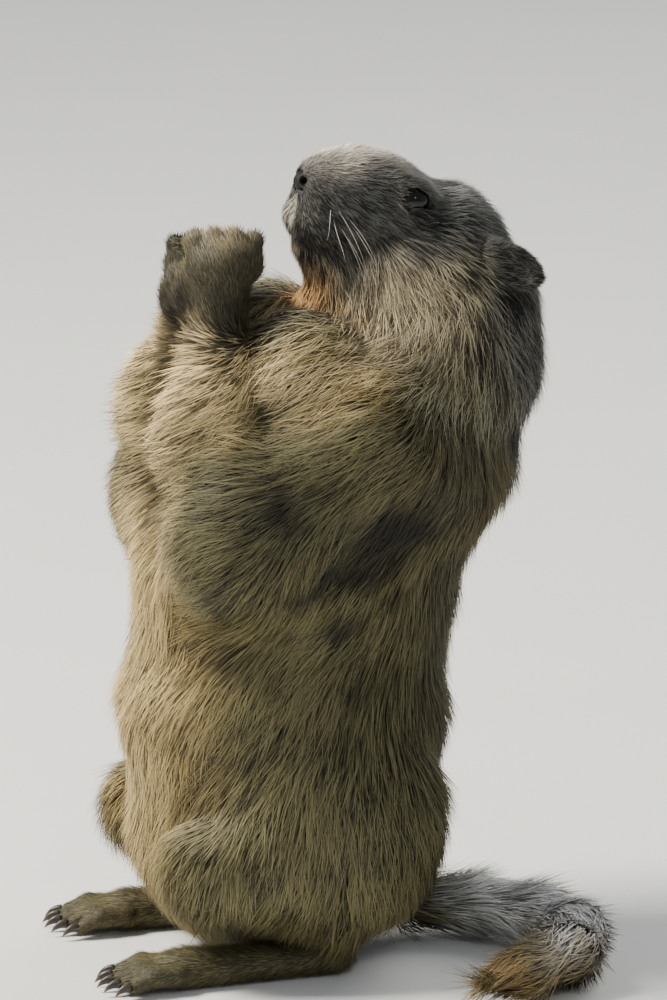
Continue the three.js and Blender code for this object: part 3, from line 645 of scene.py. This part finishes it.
def regions_of(p):
    """Which piece of the coat grows at each point, as its place in REGIONS."""
    choice = np.where(p[:, 0] > 0, REGIONS.index("flank_left"), REGIONS.index("flank_right"))

    def claim(name, where):
        choice[where] = REGIONS.index(name)

    _, ahead, above = in_head(p).T
    behind, height = p[:, 1], p[:, 2]
    claim("rump", height < 150)
    claim("belly", (height < 150) & (behind < 0))
    claim("nape", height >= 262)
    body = trunk(p, False)[0]
    head = skull(p, False)[0]
    on_skull = head < body + 1
    claim("ruff", on_skull)
    claim("crown", on_skull & (above > -14) & (ahead > -60))
    claim("face", on_skull & (ahead > -11))
    for side, name in ((1, "arm_left"), (-1, "arm_right")):
        claim(name, (arm(p, side, False)[0] < np.minimum(body, head) - 1) & (height < 300))
        claim("haunch", haunch(p, side, False)[0] < body)
        claim("feet", (foot(p, side, False)[0] < 1.5) & (height < 42) | (paw(p, side, False)[0] < 1))
        claim("face", ear(p, side, False)[0] < 0.8)
    claim("tail", (tail(p, False)[0] < 2) & (behind > 55))
    return choice


bare = np.zeros(len(own_points))
for side in (1, -1):
    bare[size_of(own_points - eye_centre(side)) < EYE["radius"] + 1.1] = 1
head_points = in_head(own_points)
bare[(np.abs(head_points[:, 2] - MOUTH["up"]) < 0.6) & (head_points[:, 1] > MOUTH["corner"])] = 1
for side in (1, -1):
    bare[mass(in_ear(own_points, side, EAR["sunk"]), (0, 0, 0), EAR["bowl"], 0, None, False)[0] < -0.3] = 0.8
bare[own_points[:, 2] < 1.5] = 1
keep(skin_mesh, "coat_region", regions_of(own_points), "INT")
keep(skin_mesh, "hair_length", hair_length * MM)
keep(skin_mesh, "hair_rise", hair_rise * MM)
keep(skin_mesh, "hair_bend", np.clip(bend, -0.01, 0.03) / MM)
keep(skin_mesh, "hair_cover", 1 - bare)
keep(skin_mesh, "lie", lie, "FLOAT_VECTOR")
keep(skin_mesh, "out", own_normals, "FLOAT_VECTOR")

# The skin is unwrapped on its own shape, and each tuft of the coat finds its place on that map.
bpy.context.view_layer.objects.active = skin
skin.select_set(True)
bpy.ops.object.mode_set(mode="EDIT")
bpy.ops.mesh.select_all(action="SELECT")
bpy.ops.uv.smart_project(angle_limit=math.radians(66), island_margin=0.002)
bpy.ops.object.mode_set(mode="OBJECT")
skin_mesh.uv_layers[0].name = "OFBake"

# Markings and painted shade
# The coat is fawn below and grey brown above, with a dark crown and nape, a pale muzzle and rust on the
# throat. Shade and light are painted in too, under and between the arms, on the forepaws and along the
# mouth. Skin and hair carry the same pattern.
COLOURS = {
    "fawn": (94, 88, 58),
    "cream": (206, 182, 132),
    "sand": (146, 126, 82),
    "olive": (72, 69, 46),
    "grey_brown": (66, 62, 48),
    "dark_brown": (36, 32, 25),
    "near_black": (17, 17, 15),
    "slate": (46, 48, 49),
    "grey": (236, 236, 234),
    "rust": (112, 84, 54),
    "tan": (190, 144, 88),
    "pale_grey": (230, 218, 200),
    "ash": (166, 150, 118),
    "warm_brown": (88, 76, 48),
}
PATCHES = [  # colour, centre and half sizes, softness of the edge, and strength
    ("olive", (0, 40, 90), (95, 100, 75), 0.4, 0.7),
    ("grey_brown", (0, 95, 180), (90, 55, 120), 0.4, 0.8),
    ("warm_brown", (0, 92, 190), (60, 30, 55), 0.4, 0.7),
    ("sand", (0, -80, 115), (60, 42, 110), 0.4, 0.8),
    ("cream", (0, -92, 120), (46, 30, 90), 0.4, 0.4),
    ("cream", (28, -86, 235), (30, 26, 60), 0.4, 0.8),
    ("grey_brown", (62, 40, 230), (24, 34, 34), 0.5, 0.4),
    ("olive", (64, -20, 232), (22, 40, 22), 0.5, 0.3),
    ("sand", (50, -6, 274), (26, 40, 20), 0.4, 0.8),
    ("ash", (48, 42, 305), (30, 36, 26), 0.4, 0.85),
    ("cream", (44, -60, 276), (38, 34, 22), 0.5, 0.85),
    # Painted shade: olive over the lower forearm and elbow, where shade falls under the arm.
    ("olive", (56, -42, 212), (36, 50, 30), 0.5, 0.8),
    # Painted shade: warm brown on the inner side of each forearm, where shade falls between the arms.
    ("warm_brown", (0, -62, 245), (27, 26, 62), 0.3, 0.85),
    ("grey_brown", (16, -50, 322), (34, 42, 21), 0.3, 0.5),
    # Painted light: a pale ash band over the tops of the forepaws, where light falls on them from above.
    ("ash", (16, -42, 340), (34, 34, 6), 0.6, 0.7),
    ("rust", (16, -74, 318), (32, 8, 22), 0.6, 0.6),
    # Painted shade: near-black streaks on the flank along and below the lower edge of each arm, where the
    # arm's shadow falls.
    ("near_black", (66, 25, 202), (30, 24, 17), 0.7, 0.97),
    ("near_black", (66, 2, 187), (30, 18, 6), 0.6, 0.9),
    ("near_black", (66, -18, 178), (30, 14, 5), 0.6, 0.85),
    ("near_black", (62, -34, 223), (30, 15, 5), 0.6, 0.8),
    ("near_black", (62, -24, 212), (30, 12, 3), 0.6, 0.7),
    ("near_black", (62, -2, 160), (30, 12, 4), 0.6, 0.8),
    ("near_black", (62, 22, 172), (30, 12, 4), 0.6, 0.6),
    ("slate", (0, 106, 288), (60, 48, 76), 0.3, 0.95),
    ("near_black", (0, 106, 300), (54, 44, 66), 0.4, 0.85),
    ("slate", (0, 62, 345), (48, 52, 36), 0.35, 0.95),
    ("slate", (0, 12, 345), (42, 42, 26), 0.3, 0.95),
    ("dark_brown", (0, 24, 328), (46, 46, 27), 0.3, 0.7),
    ("slate", (22, 34, 343), (18, 34, 18), 0.4, 0.8),
    ("near_black", (25, 47, 350), (11, 14, 9), 0.5, 0.97),
    ("grey", (20, 80, 362), (20, 24, 16), 0.5, 0.3),
    ("pale_grey", (0, 14, 381), (21, 48, 19), 0.7, 0.95),
    ("pale_grey", (0, -11, 342), (6, 6, 12), 0.5, 0.6),
    ("near_black", (0, 2, 355), (12, 8, 6), 0.4, 0.85),
    ("tan", (0, 10, 288), (26, 24, 22), 0.4, 0.9),
    ("rust", (0, 0, 312), (18, 16, 10), 0.4, 0.7),
    ("cream", (0, -6, 274), (50, 22, 14), 0.4, 0.7),
    ("near_black", (44, 95, 324), (12, 13, 9), 0.4, 0.95),
    ("grey", (18, 88, 20), (30, 22, 20), 0.6, 0.75),
    ("grey", (80, 106, 22), (68, 27, 22), 0.7, 0.9),
    ("sand", (110, 80, 8), (60, 50, 14), 0.4, 0.8),
    ("rust", (120, 62, 12), (22, 16, 14), 0.4, 0.5),
    # Painted shade: dark brown under the knuckles and over the wrists, where shade falls below the forepaws.
    ("dark_brown", (22, -42, 300), (30, 34, 12), 0.4, 0.7),
]
# Painted shade: a near-black line along the mouth, where shade falls in its crease.
PATCHES += [("near_black", from_head([0, forward, MOUTH["up"]]), (20, 2.4, 1.8), 0.5, 0.9)
            for forward in range(20, 42, 3)]
markings_and_shade = bpy.data.node_groups.new("coat_markings", "ShaderNodeTree")
markings_and_shade.interface.new_socket("Place", in_out="INPUT", socket_type="NodeSocketVector")
markings_and_shade.interface.new_socket("Color", in_out="OUTPUT", socket_type="NodeSocketColor")
given, result = markings_and_shade.nodes.new("NodeGroupInput"), markings_and_shade.nodes.new("NodeGroupOutput")
wander = add_node(markings_and_shade, "ShaderNodeTexNoise", {"Vector": given.outputs[0], "Scale": 55.0, "Detail": 2.0})
centred = vectors(markings_and_shade, "SUBTRACT", wander.outputs["Color"], (0.5, 0.5, 0.5))
own_place = vectors(markings_and_shade, "SUBTRACT", given.outputs[0], tuple(SHIFT * MM))
halves = add_node(markings_and_shade, "ShaderNodeSeparateXYZ", {0: own_place})
even = add_node(markings_and_shade, "ShaderNodeCombineXYZ", {"X": maths(markings_and_shade, "ABSOLUTE", halves.outputs[0]),
                                                   "Y": halves.outputs[1], "Z": halves.outputs[2]})
spot = vectors(markings_and_shade, "ADD", first(even), vectors(markings_and_shade, "SCALE", centred, 0.03))
colour = linear(*COLOURS["fawn"])
for name, centre, half, soft, strength in PATCHES:
    local = vectors(markings_and_shade, "SUBTRACT", spot, tuple(np.array(centre) * MM))
    local = vectors(markings_and_shade, "DIVIDE", local, tuple(np.array(half) * MM))
    far = add_node(markings_and_shade, "ShaderNodeVectorMath", {0: local}, operation="LENGTH").outputs["Value"]
    share = ranged(markings_and_shade, far, 1 + soft, 1 - soft, strength, interpolation_type="SMOOTHSTEP")
    colour = mixed(markings_and_shade, share, colour, linear(*COLOURS[name]))
markings_and_shade.links.new(colour, result.inputs[0])


def marked_and_shaded(tree, shift=(0, 0, 0)):
    """The colour of the place, with the painted shade that the pattern holds."""
    node = add_node(tree, "ShaderNodeGroup", node_tree=markings_and_shade)
    tree.links.new(vectors(tree, "ADD", own_spot(tree), shift), node.inputs[0])
    return node.outputs[0]


hide_paint, tree, shader = material("hide", roughness=0.75)
coloured(tree, shader, mixed(tree, 0.7, marked_and_shaded(tree), linear(26, 21, 16)))
bump(tree, shader, noise(tree, 900.0, 3.0), 0.5, 0.001)
skin_mesh.materials.append(hide_paint)
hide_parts(*[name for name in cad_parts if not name.startswith(("eye", "claw", "nose"))])
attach(skin, "root")

# Hair
# The coat is thousands of thin tapered tufts rooted on the skin. Each follows the lie, bends over the
# body, rises to the coat's depth and leans to its neighbours, so that the coat parts into locks.
LONG_TUFT = [(0, 0.8), (0.45, 1), (1, 0)]  # share of the length, share of the width
SHORT_TUFT = [(0, 1), (1, 0)]
TUFT_THICKNESS = 0.35  # of its width


def tuft_mesh(name, stations):
    rows = [[(-w / 2, 0, t), (w / 2, 0, t), (0, w * TUFT_THICKNESS, t)] for t, w in stations[:-1]]
    corners = [p for row in rows for p in row] + [(0, 0, 1)]
    tip = len(corners) - 1
    faces = [(0, 2, 1)]
    for row in range(len(rows)):
        for j in range(3):
            a, b = row * 3 + j, row * 3 + (j + 1) % 3
            if row == len(rows) - 1:
                faces.append((a, b, tip))
            else:
                faces += [(a, b, b + 3), (a, b + 3, a + 3)]
    mesh = bpy.data.meshes.new(name)
    mesh.from_pydata(corners, [], faces)
    return mesh


def named(tree, name, kind):
    return first(add_node(tree, "GeometryNodeInputNamedAttribute", {"Name": name}, data_type=kind))


def stored(tree, geometry, name, value, kind, domain):
    layer = {"Geometry": geometry, "Name": name, "Value": value}
    return first(add_node(tree, "GeometryNodeStoreNamedAttribute", layer, data_type=kind, domain=domain))


def chance(tree, low, high, seed):
    sizes = {"Min": low, "Max": high, "Seed": seed}
    return first(add_node(tree, "FunctionNodeRandomValue", sizes, data_type="FLOAT"))


TREE_INPUTS = {
    "Geometry": ["Skin"], "Int": ["Region", "Seed"], "Object": ["Tuft"], "Material": ["Material"],
    "Float": ["Tufts per m2", "Spacing", "Width", "Clump size", "Clumping", "Stray", "Lift", "Swirl"],
}
DRAWS = [("tone", 0, 1), ("longer", 0.72, 1.25), ("turn", -1, 1), ("stray", 0, 1), ("wider", 0.7, 1.25)]
MAT = 3.2  # a mat of locks, as a multiple of one lock's size
BAKE_PATCH = 0.003  # the size of a tuft's patch on the map


def coat_tree():
    tree = bpy.data.node_groups.new("tufted_coat", "GeometryNodeTree")
    tree.is_modifier = True
    for kind, labels in TREE_INPUTS.items():
        for label in labels:
            tree.interface.new_socket(label, in_out="INPUT", socket_type=f"NodeSocket{kind}")
    tree.interface.new_socket("Coat", in_out="OUTPUT", socket_type="NodeSocketGeometry")
    given, result = tree.nodes.new("NodeGroupInput"), tree.nodes.new("NodeGroupOutput")
    size = {label: given.outputs[label] for labels in TREE_INPUTS.values() for label in labels}

    def number(name):
        return named(tree, name, "FLOAT")

    def vector(name):
        return named(tree, name, "FLOAT_VECTOR")

    def times(a, b):
        return maths(tree, "MULTIPLY", a, b)

    def plus(a, b):
        return maths(tree, "ADD", a, b)

    def minus(a, b):
        return maths(tree, "SUBTRACT", a, b)

    def moved(a, b):
        return vectors(tree, "ADD", a, b)

    def scaled(a, b):
        return vectors(tree, "SCALE", a, b)

    def parts(value):
        return add_node(tree, "ShaderNodeSeparateXYZ", {0: value}).outputs

    def flat(x, y):
        return first(add_node(tree, "ShaderNodeCombineXYZ", {"X": x, "Y": y}))

    def here():
        return add_node(tree, "GeometryNodeInputPosition").outputs[0]

    grows_here = add_node(tree, "FunctionNodeCompare", data_type="INT", operation="EQUAL")
    integers = [s for s in grows_here.inputs if s.type == "INT"]
    tree.links.new(named(tree, "coat_region", "INT"), integers[0])
    tree.links.new(size["Region"], integers[1])
    scatter = {"Mesh": size["Skin"], "Selection": grows_here.outputs[0], "Seed": size["Seed"],
               "Distance Min": size["Spacing"], "Density Max": size["Tufts per m2"],
               "Density Factor": number("hair_cover")}
    roots = add_node(tree, "GeometryNodeDistributePointsOnFaces", scatter, distribute_method="POISSON")
    roots = roots.outputs["Points"]
    for i, (label, low, high) in enumerate(DRAWS):
        seed = plus(add_node(tree, "FunctionNodeInputInt", integer=i * 7 + 3).outputs[0], size["Seed"])
        roots = stored(tree, roots, label, chance(tree, low, high, seed), "FLOAT", "POINT")
    roots = stored(tree, roots, "root", here(), "FLOAT_VECTOR", "POINT")
    shape = add_node(tree, "GeometryNodeObjectInfo", {"Object": size["Tuft"]}).outputs["Geometry"]
    tufts = add_node(tree, "GeometryNodeInstanceOnPoints", {"Points": roots, "Instance": shape})
    coat = first(add_node(tree, "GeometryNodeRealizeInstances", {"Geometry": tufts.outputs[0]}))

    root = vector("root")
    out = vectors(tree, "NORMALIZE", vector("out"))

    def lock(across):
        """The way along the skin to the middle of a tuft's lock, and the lock's own chance."""
        scale = maths(tree, "DIVIDE", 1.0, across)
        cell = add_node(tree, "ShaderNodeTexVoronoi", {"Vector": root, "Scale": scale})
        toward = vectors(tree, "SUBTRACT", cell.outputs["Position"], root)
        off = add_node(tree, "ShaderNodeVectorMath", {0: toward, 1: out}, operation="DOT_PRODUCT")
        flat_way = vectors(tree, "SUBTRACT", toward, scaled(out, off.outputs["Value"]))
        return flat_way, parts(cell.outputs["Color"])[0]

    to_lock, lock_draw = lock(size["Clump size"])
    to_mat, mat_draw = lock(times(size["Clump size"], MAT))
    breeze = add_node(tree, "ShaderNodeTexNoise", {"Vector": root, "Scale": 45.0, "Detail": 1.0}).outputs[0]
    swirl = times(minus(breeze, 0.5), size["Swirl"])
    turn = plus(times(number("turn"), size["Stray"]), swirl)
    turned = add_node(tree, "ShaderNodeVectorRotate", {"Vector": vector("lie"), "Axis": out, "Angle": turn})
    way = vectors(tree, "NORMALIZE", first(turned))
    side = vectors(tree, "CROSS_PRODUCT", out, way)
    across, thick, along = parts(vectors(tree, "SUBTRACT", here(), root))

    # The tuft's length, its height over the skin, its lean to its lock and its width give each point.
    reach = times(number("hair_length"), number("longer"))
    gone = times(reach, along)
    fall = times(times(gone, gone), times(number("hair_bend"), -0.5))
    stray = plus(times(maths(tree, "POWER", number("stray"), 6.0), 0.45), size["Lift"])
    stray = plus(stray, times(minus(lock_draw, 0.6), 0.5))
    rise = times(times(number("hair_rise"), stray), maths(tree, "POWER", along, 0.8))
    sunk = times(minus(1.0, along), -0.0006)
    height = plus(plus(fall, rise), sunk)
    pull = times(size["Clumping"], maths(tree, "POWER", along, 1.5))
    lean = scaled(moved(to_lock, scaled(to_mat, 0.3)), pull)
    wide = times(size["Width"], number("wider"))
    spot = moved(root, scaled(way, gone))
    spot = moved(spot, scaled(out, plus(height, times(thick, wide))))
    spot = moved(spot, scaled(side, times(across, wide)))
    spot = vectors(tree, "MAXIMUM", moved(spot, lean), (-9.0, -9.0, 0.0003))

    patch = flat(times(across, BAKE_PATCH), times(minus(along, 0.5), BAKE_PATCH))
    own_tone = times(number("tone"), 0.5)
    shared_tone = times(plus(lock_draw, times(mat_draw, 0.5)), 0.33)
    coat = stored(tree, coat, "Tuft", flat(plus(own_tone, shared_tone), along), "FLOAT2", "CORNER")
    coat = stored(tree, coat, "baked", moved(vector("OFBake"), patch), "FLOAT2", "CORNER")
    rounding = scaled(side, times(across, 1.1))
    falling = scaled(way, times(gone, number("hair_bend")))
    facing = vectors(tree, "NORMALIZE", moved(moved(out, rounding), falling))
    coat = stored(tree, coat, "facing", facing, "FLOAT_VECTOR", "POINT")
    coat = first(add_node(tree, "GeometryNodeSetPosition", {"Geometry": coat, "Position": spot}))
    turned_coat = {"Mesh": coat, "Custom Normal": vector("facing")}
    coat = first(add_node(tree, "GeometryNodeSetMeshNormal", turned_coat, mode="FREE", domain="POINT"))
    coat = first(add_node(tree, "GeometryNodeSetMaterial", {"Geometry": coat, "Material": size["Material"]}))
    tree.links.new(coat, result.inputs[0])
    return tree


coat_nodes = coat_tree()


def grown(name, settings):
    """One piece of the coat as a plain mesh, grown on the skin by the tree."""
    modifier = skin.modifiers.new(name, "NODES")
    modifier.node_group = coat_nodes
    for item in coat_nodes.interface.items_tree:
        if item.in_out == "INPUT" and item.name in settings:
            modifier[item.identifier] = settings[item.name]
    seen = skin.evaluated_get(bpy.context.evaluated_depsgraph_get())
    mesh = bpy.data.meshes.new_from_object(seen)
    skin.modifiers.remove(modifier)
    mesh.name = name
    wanted = ("position", "Tuft", "baked", "material_index", "custom_normal")
    for layer in [a.name for a in mesh.attributes if a.name not in wanted and not a.name.startswith(".")]:
        mesh.attributes.remove(mesh.attributes[layer])
    mesh.uv_layers["baked"].name = "OFBake"
    return show(mesh, name)


PARTING = (0, -0.016, -0.02)  # how far tufts of one mark may start before it, along the flank's lie


def hair(name, contrast, reach, chosen, grizzle):
    """Hair that is dark at the root, has the place's colour and is tipped paler or darker, tuft by tuft."""
    paint, tree, shader = material(name, roughness=0.6, specular_ior_level=0.3)
    uv = add_node(tree, "ShaderNodeUVMap", uv_map="Tuft")
    parts = add_node(tree, "ShaderNodeSeparateXYZ", {0: uv.outputs[0]})
    tone, along = parts.outputs[0], parts.outputs[1]
    shift = vectors(tree, "SCALE", PARTING, maths(tree, "SUBTRACT", tone, 0.5))
    place_colour = marked_and_shaded(tree, shift)

    def when(operation, limit, share):
        return maths(tree, "MULTIPLY", maths(tree, operation, tone, limit), share)

    def scaled(times, extra):
        warm = (extra, extra * 0.95, extra * 0.8)
        return vectors(tree, "ADD", vectors(tree, "SCALE", place_colour, times), warm)

    shade_of_tuft = maths(tree, "ADD", maths(tree, "MULTIPLY", tone, contrast), 0.93 - contrast / 2)
    length = vectors(tree, "SCALE", place_colour, shade_of_tuft)
    colour = mixed(tree, ranged(tree, along, 0.6, 0.1, 0.9), length, scaled(0.1, 0.006))
    pale_tip = when("GREATER_THAN", chosen, ranged(tree, along, reach, 0.9, 0.9))
    colour = mixed(tree, pale_tip, colour, scaled(1.75, grizzle))
    dark_tip = when("LESS_THAN", 0.36, ranged(tree, along, 0.2, 0.8, 0.85))
    coloured(tree, shader, mixed(tree, dark_tip, colour, scaled(0.13, 0.003)))
    return paint


body_hair = hair("coat_hair", 1.4, 0.3, 0.52, 0.012)
head_hair = hair("head_hair", 1.9, 0, 0.56, 0.17)
long_tuft = show(tuft_mesh("long_tuft", LONG_TUFT), "long_tuft")
short_tuft = show(tuft_mesh("short_tuft", SHORT_TUFT), "short_tuft")
SHORT_COATS = ("face", "feet")
COATS = {  # tufts per square metre, spacing, width, clump size, clumping, stray, lift and swirl
    "face": (6e6, 0.4, 0.38, 1.6, 0.2, 0.3, 0.75, 0.4),
    "crown": (4e6, 0.56, 0.42, 2.5, 0.35, 0.35, 0.95, 0.9),
    "ruff": (4e6, 0.56, 0.45, 3.5, 0.5, 0.45, 1.1, 1.3),
    "nape": (3e6, 0.72, 0.5, 4, 0.55, 0.45, 1.15, 1.3),
    "flank": (3e6, 0.8, 0.58, 5, 0.6, 0.3, 0.95, 1),
    "belly": (3e6, 0.92, 0.62, 5.5, 0.55, 0.3, 0.95, 1),
    "rump": (3e6, 0.92, 0.66, 5.5, 0.55, 0.22, 0.95, 0.7),
    "arm": (3e6, 0.8, 0.55, 4.5, 0.6, 0.3, 0.95, 1),
    "haunch": (3e6, 0.92, 0.62, 5.5, 0.5, 0.3, 0.95, 1),
    "tail": (3e6, 0.74, 0.52, 4, 0.4, 0.22, 0.85, 0.6),
    "feet": (4e6, 0.68, 0.5, 2, 0.15, 0.2, 0.75, 0.3),
}
HEAD_REGIONS = ("face", "crown", "ruff", "nape")
FIRST_SEED = 11
for i, region in enumerate(REGIONS):
    density, spacing, width, clump, clumping, stray, lift, swirl = COATS[region.split("_")[0]]
    piece = grown(f"fur_{region}", {
        "Region": i, "Tufts per m2": density, "Spacing": spacing * MM, "Width": width * MM,
        "Clump size": clump * MM, "Clumping": clumping, "Stray": stray, "Lift": lift, "Swirl": swirl,
        "Seed": FIRST_SEED + i, "Tuft": short_tuft if region in SHORT_COATS else long_tuft,
        "Material": head_hair if region in HEAD_REGIONS else body_hair})
    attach(piece, "root")
for template in (long_tuft, short_tuft):
    bpy.data.objects.remove(template)
for name in [a.name for a in skin_mesh.attributes]:
    if name.startswith(("hair_", "coat_")) or name in ("lie", "out"):
        skin_mesh.attributes.remove(skin_mesh.attributes[name])

# Eyes
# Each eye is a dark wet ball set deep between the lids, with a clear bulge over the iris. The iris is
# so dark a brown that only its rim shows round the pupil.
def closed_form(name, forms, paint):
    """Forms of rings, each closed by a point at both ends, as one mesh."""
    corners, faces, turns = [], [], []
    for start, rings, end in forms:
        base = len(corners)
        count = len(rings[0])
        corners += [start, *(p for ring in rings for p in ring), end]
        turns += [0, *(i / len(rings) for i in range(len(rings)) for _ in range(count)), 1]
        for j in range(count):
            k = (j + 1) % count
            faces.append((base, base + 1 + k, base + 1 + j))
            for i in range(len(rings) - 1):
                a, b = base + 1 + i * count + j, base + 1 + i * count + k
                faces.append((a, b, b + count, a + count))
            last = base + 1 + (len(rings) - 1) * count
            faces.append((last + j, last + k, base + 1 + len(rings) * count))
    mesh = bpy.data.meshes.new(name)
    mesh.from_pydata([tuple(q) for q in place(np.array(corners))], [], faces, shade_flat=False)
    fine = bmesh.new()
    fine.from_mesh(mesh)
    bmesh.ops.recalc_face_normals(fine, faces=fine.faces)
    fine.to_mesh(mesh)
    fine.free()
    keep(mesh, "along", turns)
    mesh.materials.append(paint)
    return show(mesh, name)


def ring(centre, across, up, wide, high, count):
    angles = 2 * math.pi * np.arange(count) / count
    return centre + wide * np.cos(angles)[:, None] * across + high * np.sin(angles)[:, None] * up


CORNEA = {"bulge": 0.05, "spread": 0.45}
eye_paint, tree, shader = material("eye_gloss", roughness=0.08, specular_ior_level=0.35)
measure = add_node(tree, "ShaderNodeAttribute", attribute_name="along").outputs["Fac"]
iris = mixed(tree, noise(tree, 700.0), linear(13, 10, 8), linear(24, 17, 12))
iris = mixed(tree, ranged(tree, measure, 0.2, 0.26), iris, linear(7, 7, 8))
coloured(tree, shader, mixed(tree, ranged(tree, measure, 0.12, 0.1), iris, linear(3, 3, 4)))
for side, name in ((1, "left"), (-1, "right")):
    out, corner, brow = eye_axes(side)
    centre = eye_centre(side)
    rings = []
    for turn in np.linspace(0.07, math.pi - 0.12, 30):
        radius = EYE["radius"] * (1 + CORNEA["bulge"] * math.exp(-(turn / CORNEA["spread"]) ** 2))
        wide = radius * math.sin(turn)
        rings.append(ring(centre + radius * math.cos(turn) * out, corner, brow, wide, wide, 40))
    front = centre + EYE["radius"] * (1 + CORNEA["bulge"]) * out
    ball = closed_form(f"eyeball_{name}", [(front, rings, centre - EYE["radius"] * out)], eye_paint)
    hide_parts(f"eye_{name}")
    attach(ball, "root")

# Nose
# The nose is a small bare pad of fine-grained leather. Two comma-shaped nostrils open to its sides, and
# a crease runs down its middle to the split of the upper lip.
NOSTRIL = {"at": (0.8, 0.55, 0.05), "half": (0.42, 0.4), "depth": 0.6}


def pad_point(share, turn):
    """A point on the pad, share of the way from its front to its back."""
    lift = share * math.pi
    x, f, u = (math.sin(lift) * math.cos(turn), math.cos(lift), math.sin(lift) * math.sin(turn))
    pit = unit(np.array(NOSTRIL["at"]))
    level = math.hypot(abs(x) - pit[0], f - pit[1])
    depth = math.exp(-((level / NOSTRIL["half"][0]) ** 2 + ((u - pit[2]) / NOSTRIL["half"][1]) ** 2) ** 1.5)
    size = 1 - NOSTRIL["depth"] * depth - 0.12 * math.exp(-(x / 0.08) ** 2) * (f > 0) * (u < 0.3)
    return from_head(np.array(NOSE_PAD["at"]) + np.array(NOSE_PAD["half"]) * size * (x, f, u))


leather, tree, shader = material("nose_leather", roughness=0.55, specular_ior_level=0.2)
grain = add_node(tree, "ShaderNodeTexVoronoi", {"Vector": own_spot(tree), "Scale": 1500.0})
grain = grain.outputs["Distance"]
coloured(tree, shader, mixed(tree, grain, linear(7, 6, 6), linear(17, 15, 15)))
bump(tree, shader, grain, 0.6, 0.0004)
turns = 2 * math.pi * np.arange(72) / 72
pad_rings = [[pad_point(share, turn) for turn in turns] for share in np.linspace(0.02, 0.9, 56)]
nose = closed_form("nose_pad", [(pad_point(0, 0), pad_rings, pad_point(1, 0))], leather)
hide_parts("nose")
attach(nose, "root")

# Claws
# Dark horn claws, four on each forepaw and five on each hind foot, grow from the ends of the digits.
# They curve down to blunt points, worn paler at the tip, and are ribbed finely along their length.
CLAW = {"rings": 12, "sides": 14, "flatness": 0.8, "fall": 0.45, "radius": 2.3}


def claw(root, heading, fall, length):
    ahead, down = unit(np.array(heading, float)), unit(np.array(fall, float))
    across = unit(np.cross(ahead, down))
    rings = []
    for i in range(1, CLAW["rings"]):
        t = i / CLAW["rings"] * 0.97
        radius = CLAW["radius"] * (1 - t**1.7)
        up = unit(np.cross(across, ahead + 0.9 * t * down))
        middle = root + ahead * length * (t - 0.2 * t * t) + down * length * CLAW["fall"] * t * t
        rings.append(ring(middle, across, up, CLAW["flatness"] * radius, radius, CLAW["sides"]))
    return root, rings, root + ahead * length * 0.79 + down * length * CLAW["fall"] * 0.97


horn, tree, shader = material("claw_horn", roughness=0.38)
measure = add_node(tree, "ShaderNodeAttribute", attribute_name="along").outputs["Fac"]
streaks = noise(tree, 1400.0)
dark_horn = mixed(tree, streaks, linear(34, 29, 25), linear(62, 53, 45))
worn = ranged(tree, measure, 0.6, 1.0, 0.7)
coloured(tree, shader, mixed(tree, worn, dark_horn, linear(122, 108, 90)))
bump(tree, shader, streaks, 0.4, 0.0003)
for side, name in ((1, "left"), (-1, "right")):
    hind_claws = []
    for i in range(TOES):
        end = toe(i, side)[-1]
        hind_claws.append(claw(np.array([end[0], end[1] - 2, 5.8]), (0.12 * side * (i - 2), -1, 0.12),
                               (0, 0, -1), 11))
    fore_claws = []
    for i in range(FINGERS):
        end = finger(i, side)[-1]
        fore_claws.append(claw(end + (-1.2 * side, 0, -2), (-0.15 * side, 0.05 * (i - 1.5), -1),
                               (side, 0, -0.4), 13))
    for limb, claws in (("hind", hind_claws), ("fore", fore_claws)):
        piece = closed_form(f"claws_{limb}_{name}", claws, horn)
        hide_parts(*[f"claw_{limb}_{name}_{i + 1}" for i in range(len(claws))])
        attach(piece, "root")

# Whiskers
# Stiff pale bristles grow in rows from the sides of the muzzle. Each is a fine tapered hair, rooted
# in the skin, that droops back and down.
WHISKERS = [  # root: across, forward and up; way; length and droop
    ((16, 25, -21), (0.7, -0.9, -0.55), 32, 0.5),
    ((16, 21, -21), (0.7, -1.1, -0.3), 30, 0.6),
    ((16, 17, -23), (0.6, -1, -0.6), 31, 0.3),
    ((15, 26, -26), (0.6, -0.5, -0.9), 31, -0.35),
    ((15, 21, -27), (0.7, -0.9, -0.6), 27, 0.5),
    ((15, 17, -29), (0.7, -0.8, -0.6), 24, 0.25),
    ((14, 28, -22), (0.8, 0.1, -0.6), 20, 0.2),
]
WHISKER = {"radius": 0.14, "steps": 20, "sides": 6, "sunk": 2, "curl": 0.3}


def on_skin(p):
    """The nearest point of the skin."""
    for _ in range(4):
        p = p - skin_field(p[None])[0] * unit(slope_at(p[None])[0])
    return p


def whisker(root, way, length, droop, side):
    start = on_skin(from_head(np.array(root) * (side, 1, 1)))
    ahead = unit(head_way(np.array(way) * (side, 1, 1)))
    down = np.array([0.0, 0.0, -1.0])
    across = unit(np.cross(ahead, down))
    up = np.cross(across, ahead)
    spine = [start + ahead * (length * t - WHISKER["sunk"]) + (down - 0.3 * ahead) * droop * length * t * t
             + across * WHISKER["curl"] * side * length * (t * t - 0.9 * t**3)
             for t in np.linspace(0, 1, WHISKER["steps"] + 1)]
    radii = WHISKER["radius"] * (1 - np.linspace(0, 0.95, WHISKER["steps"]))
    rings = [ring(q, across, up, r, r, WHISKER["sides"]) for q, r in zip(spine[:-1], radii)]
    return spine[0] - 0.2 * ahead, rings, spine[-1]


bristle, tree, shader = material("whisker", roughness=0.35)
coloured(tree, shader, mixed(tree, noise(tree, 300.0), linear(236, 232, 222), linear(206, 200, 186)))
whiskers = closed_form("whiskers", [whisker(*w, side) for w in WHISKERS for side in (1, -1)], bristle)
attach(whiskers, "root")
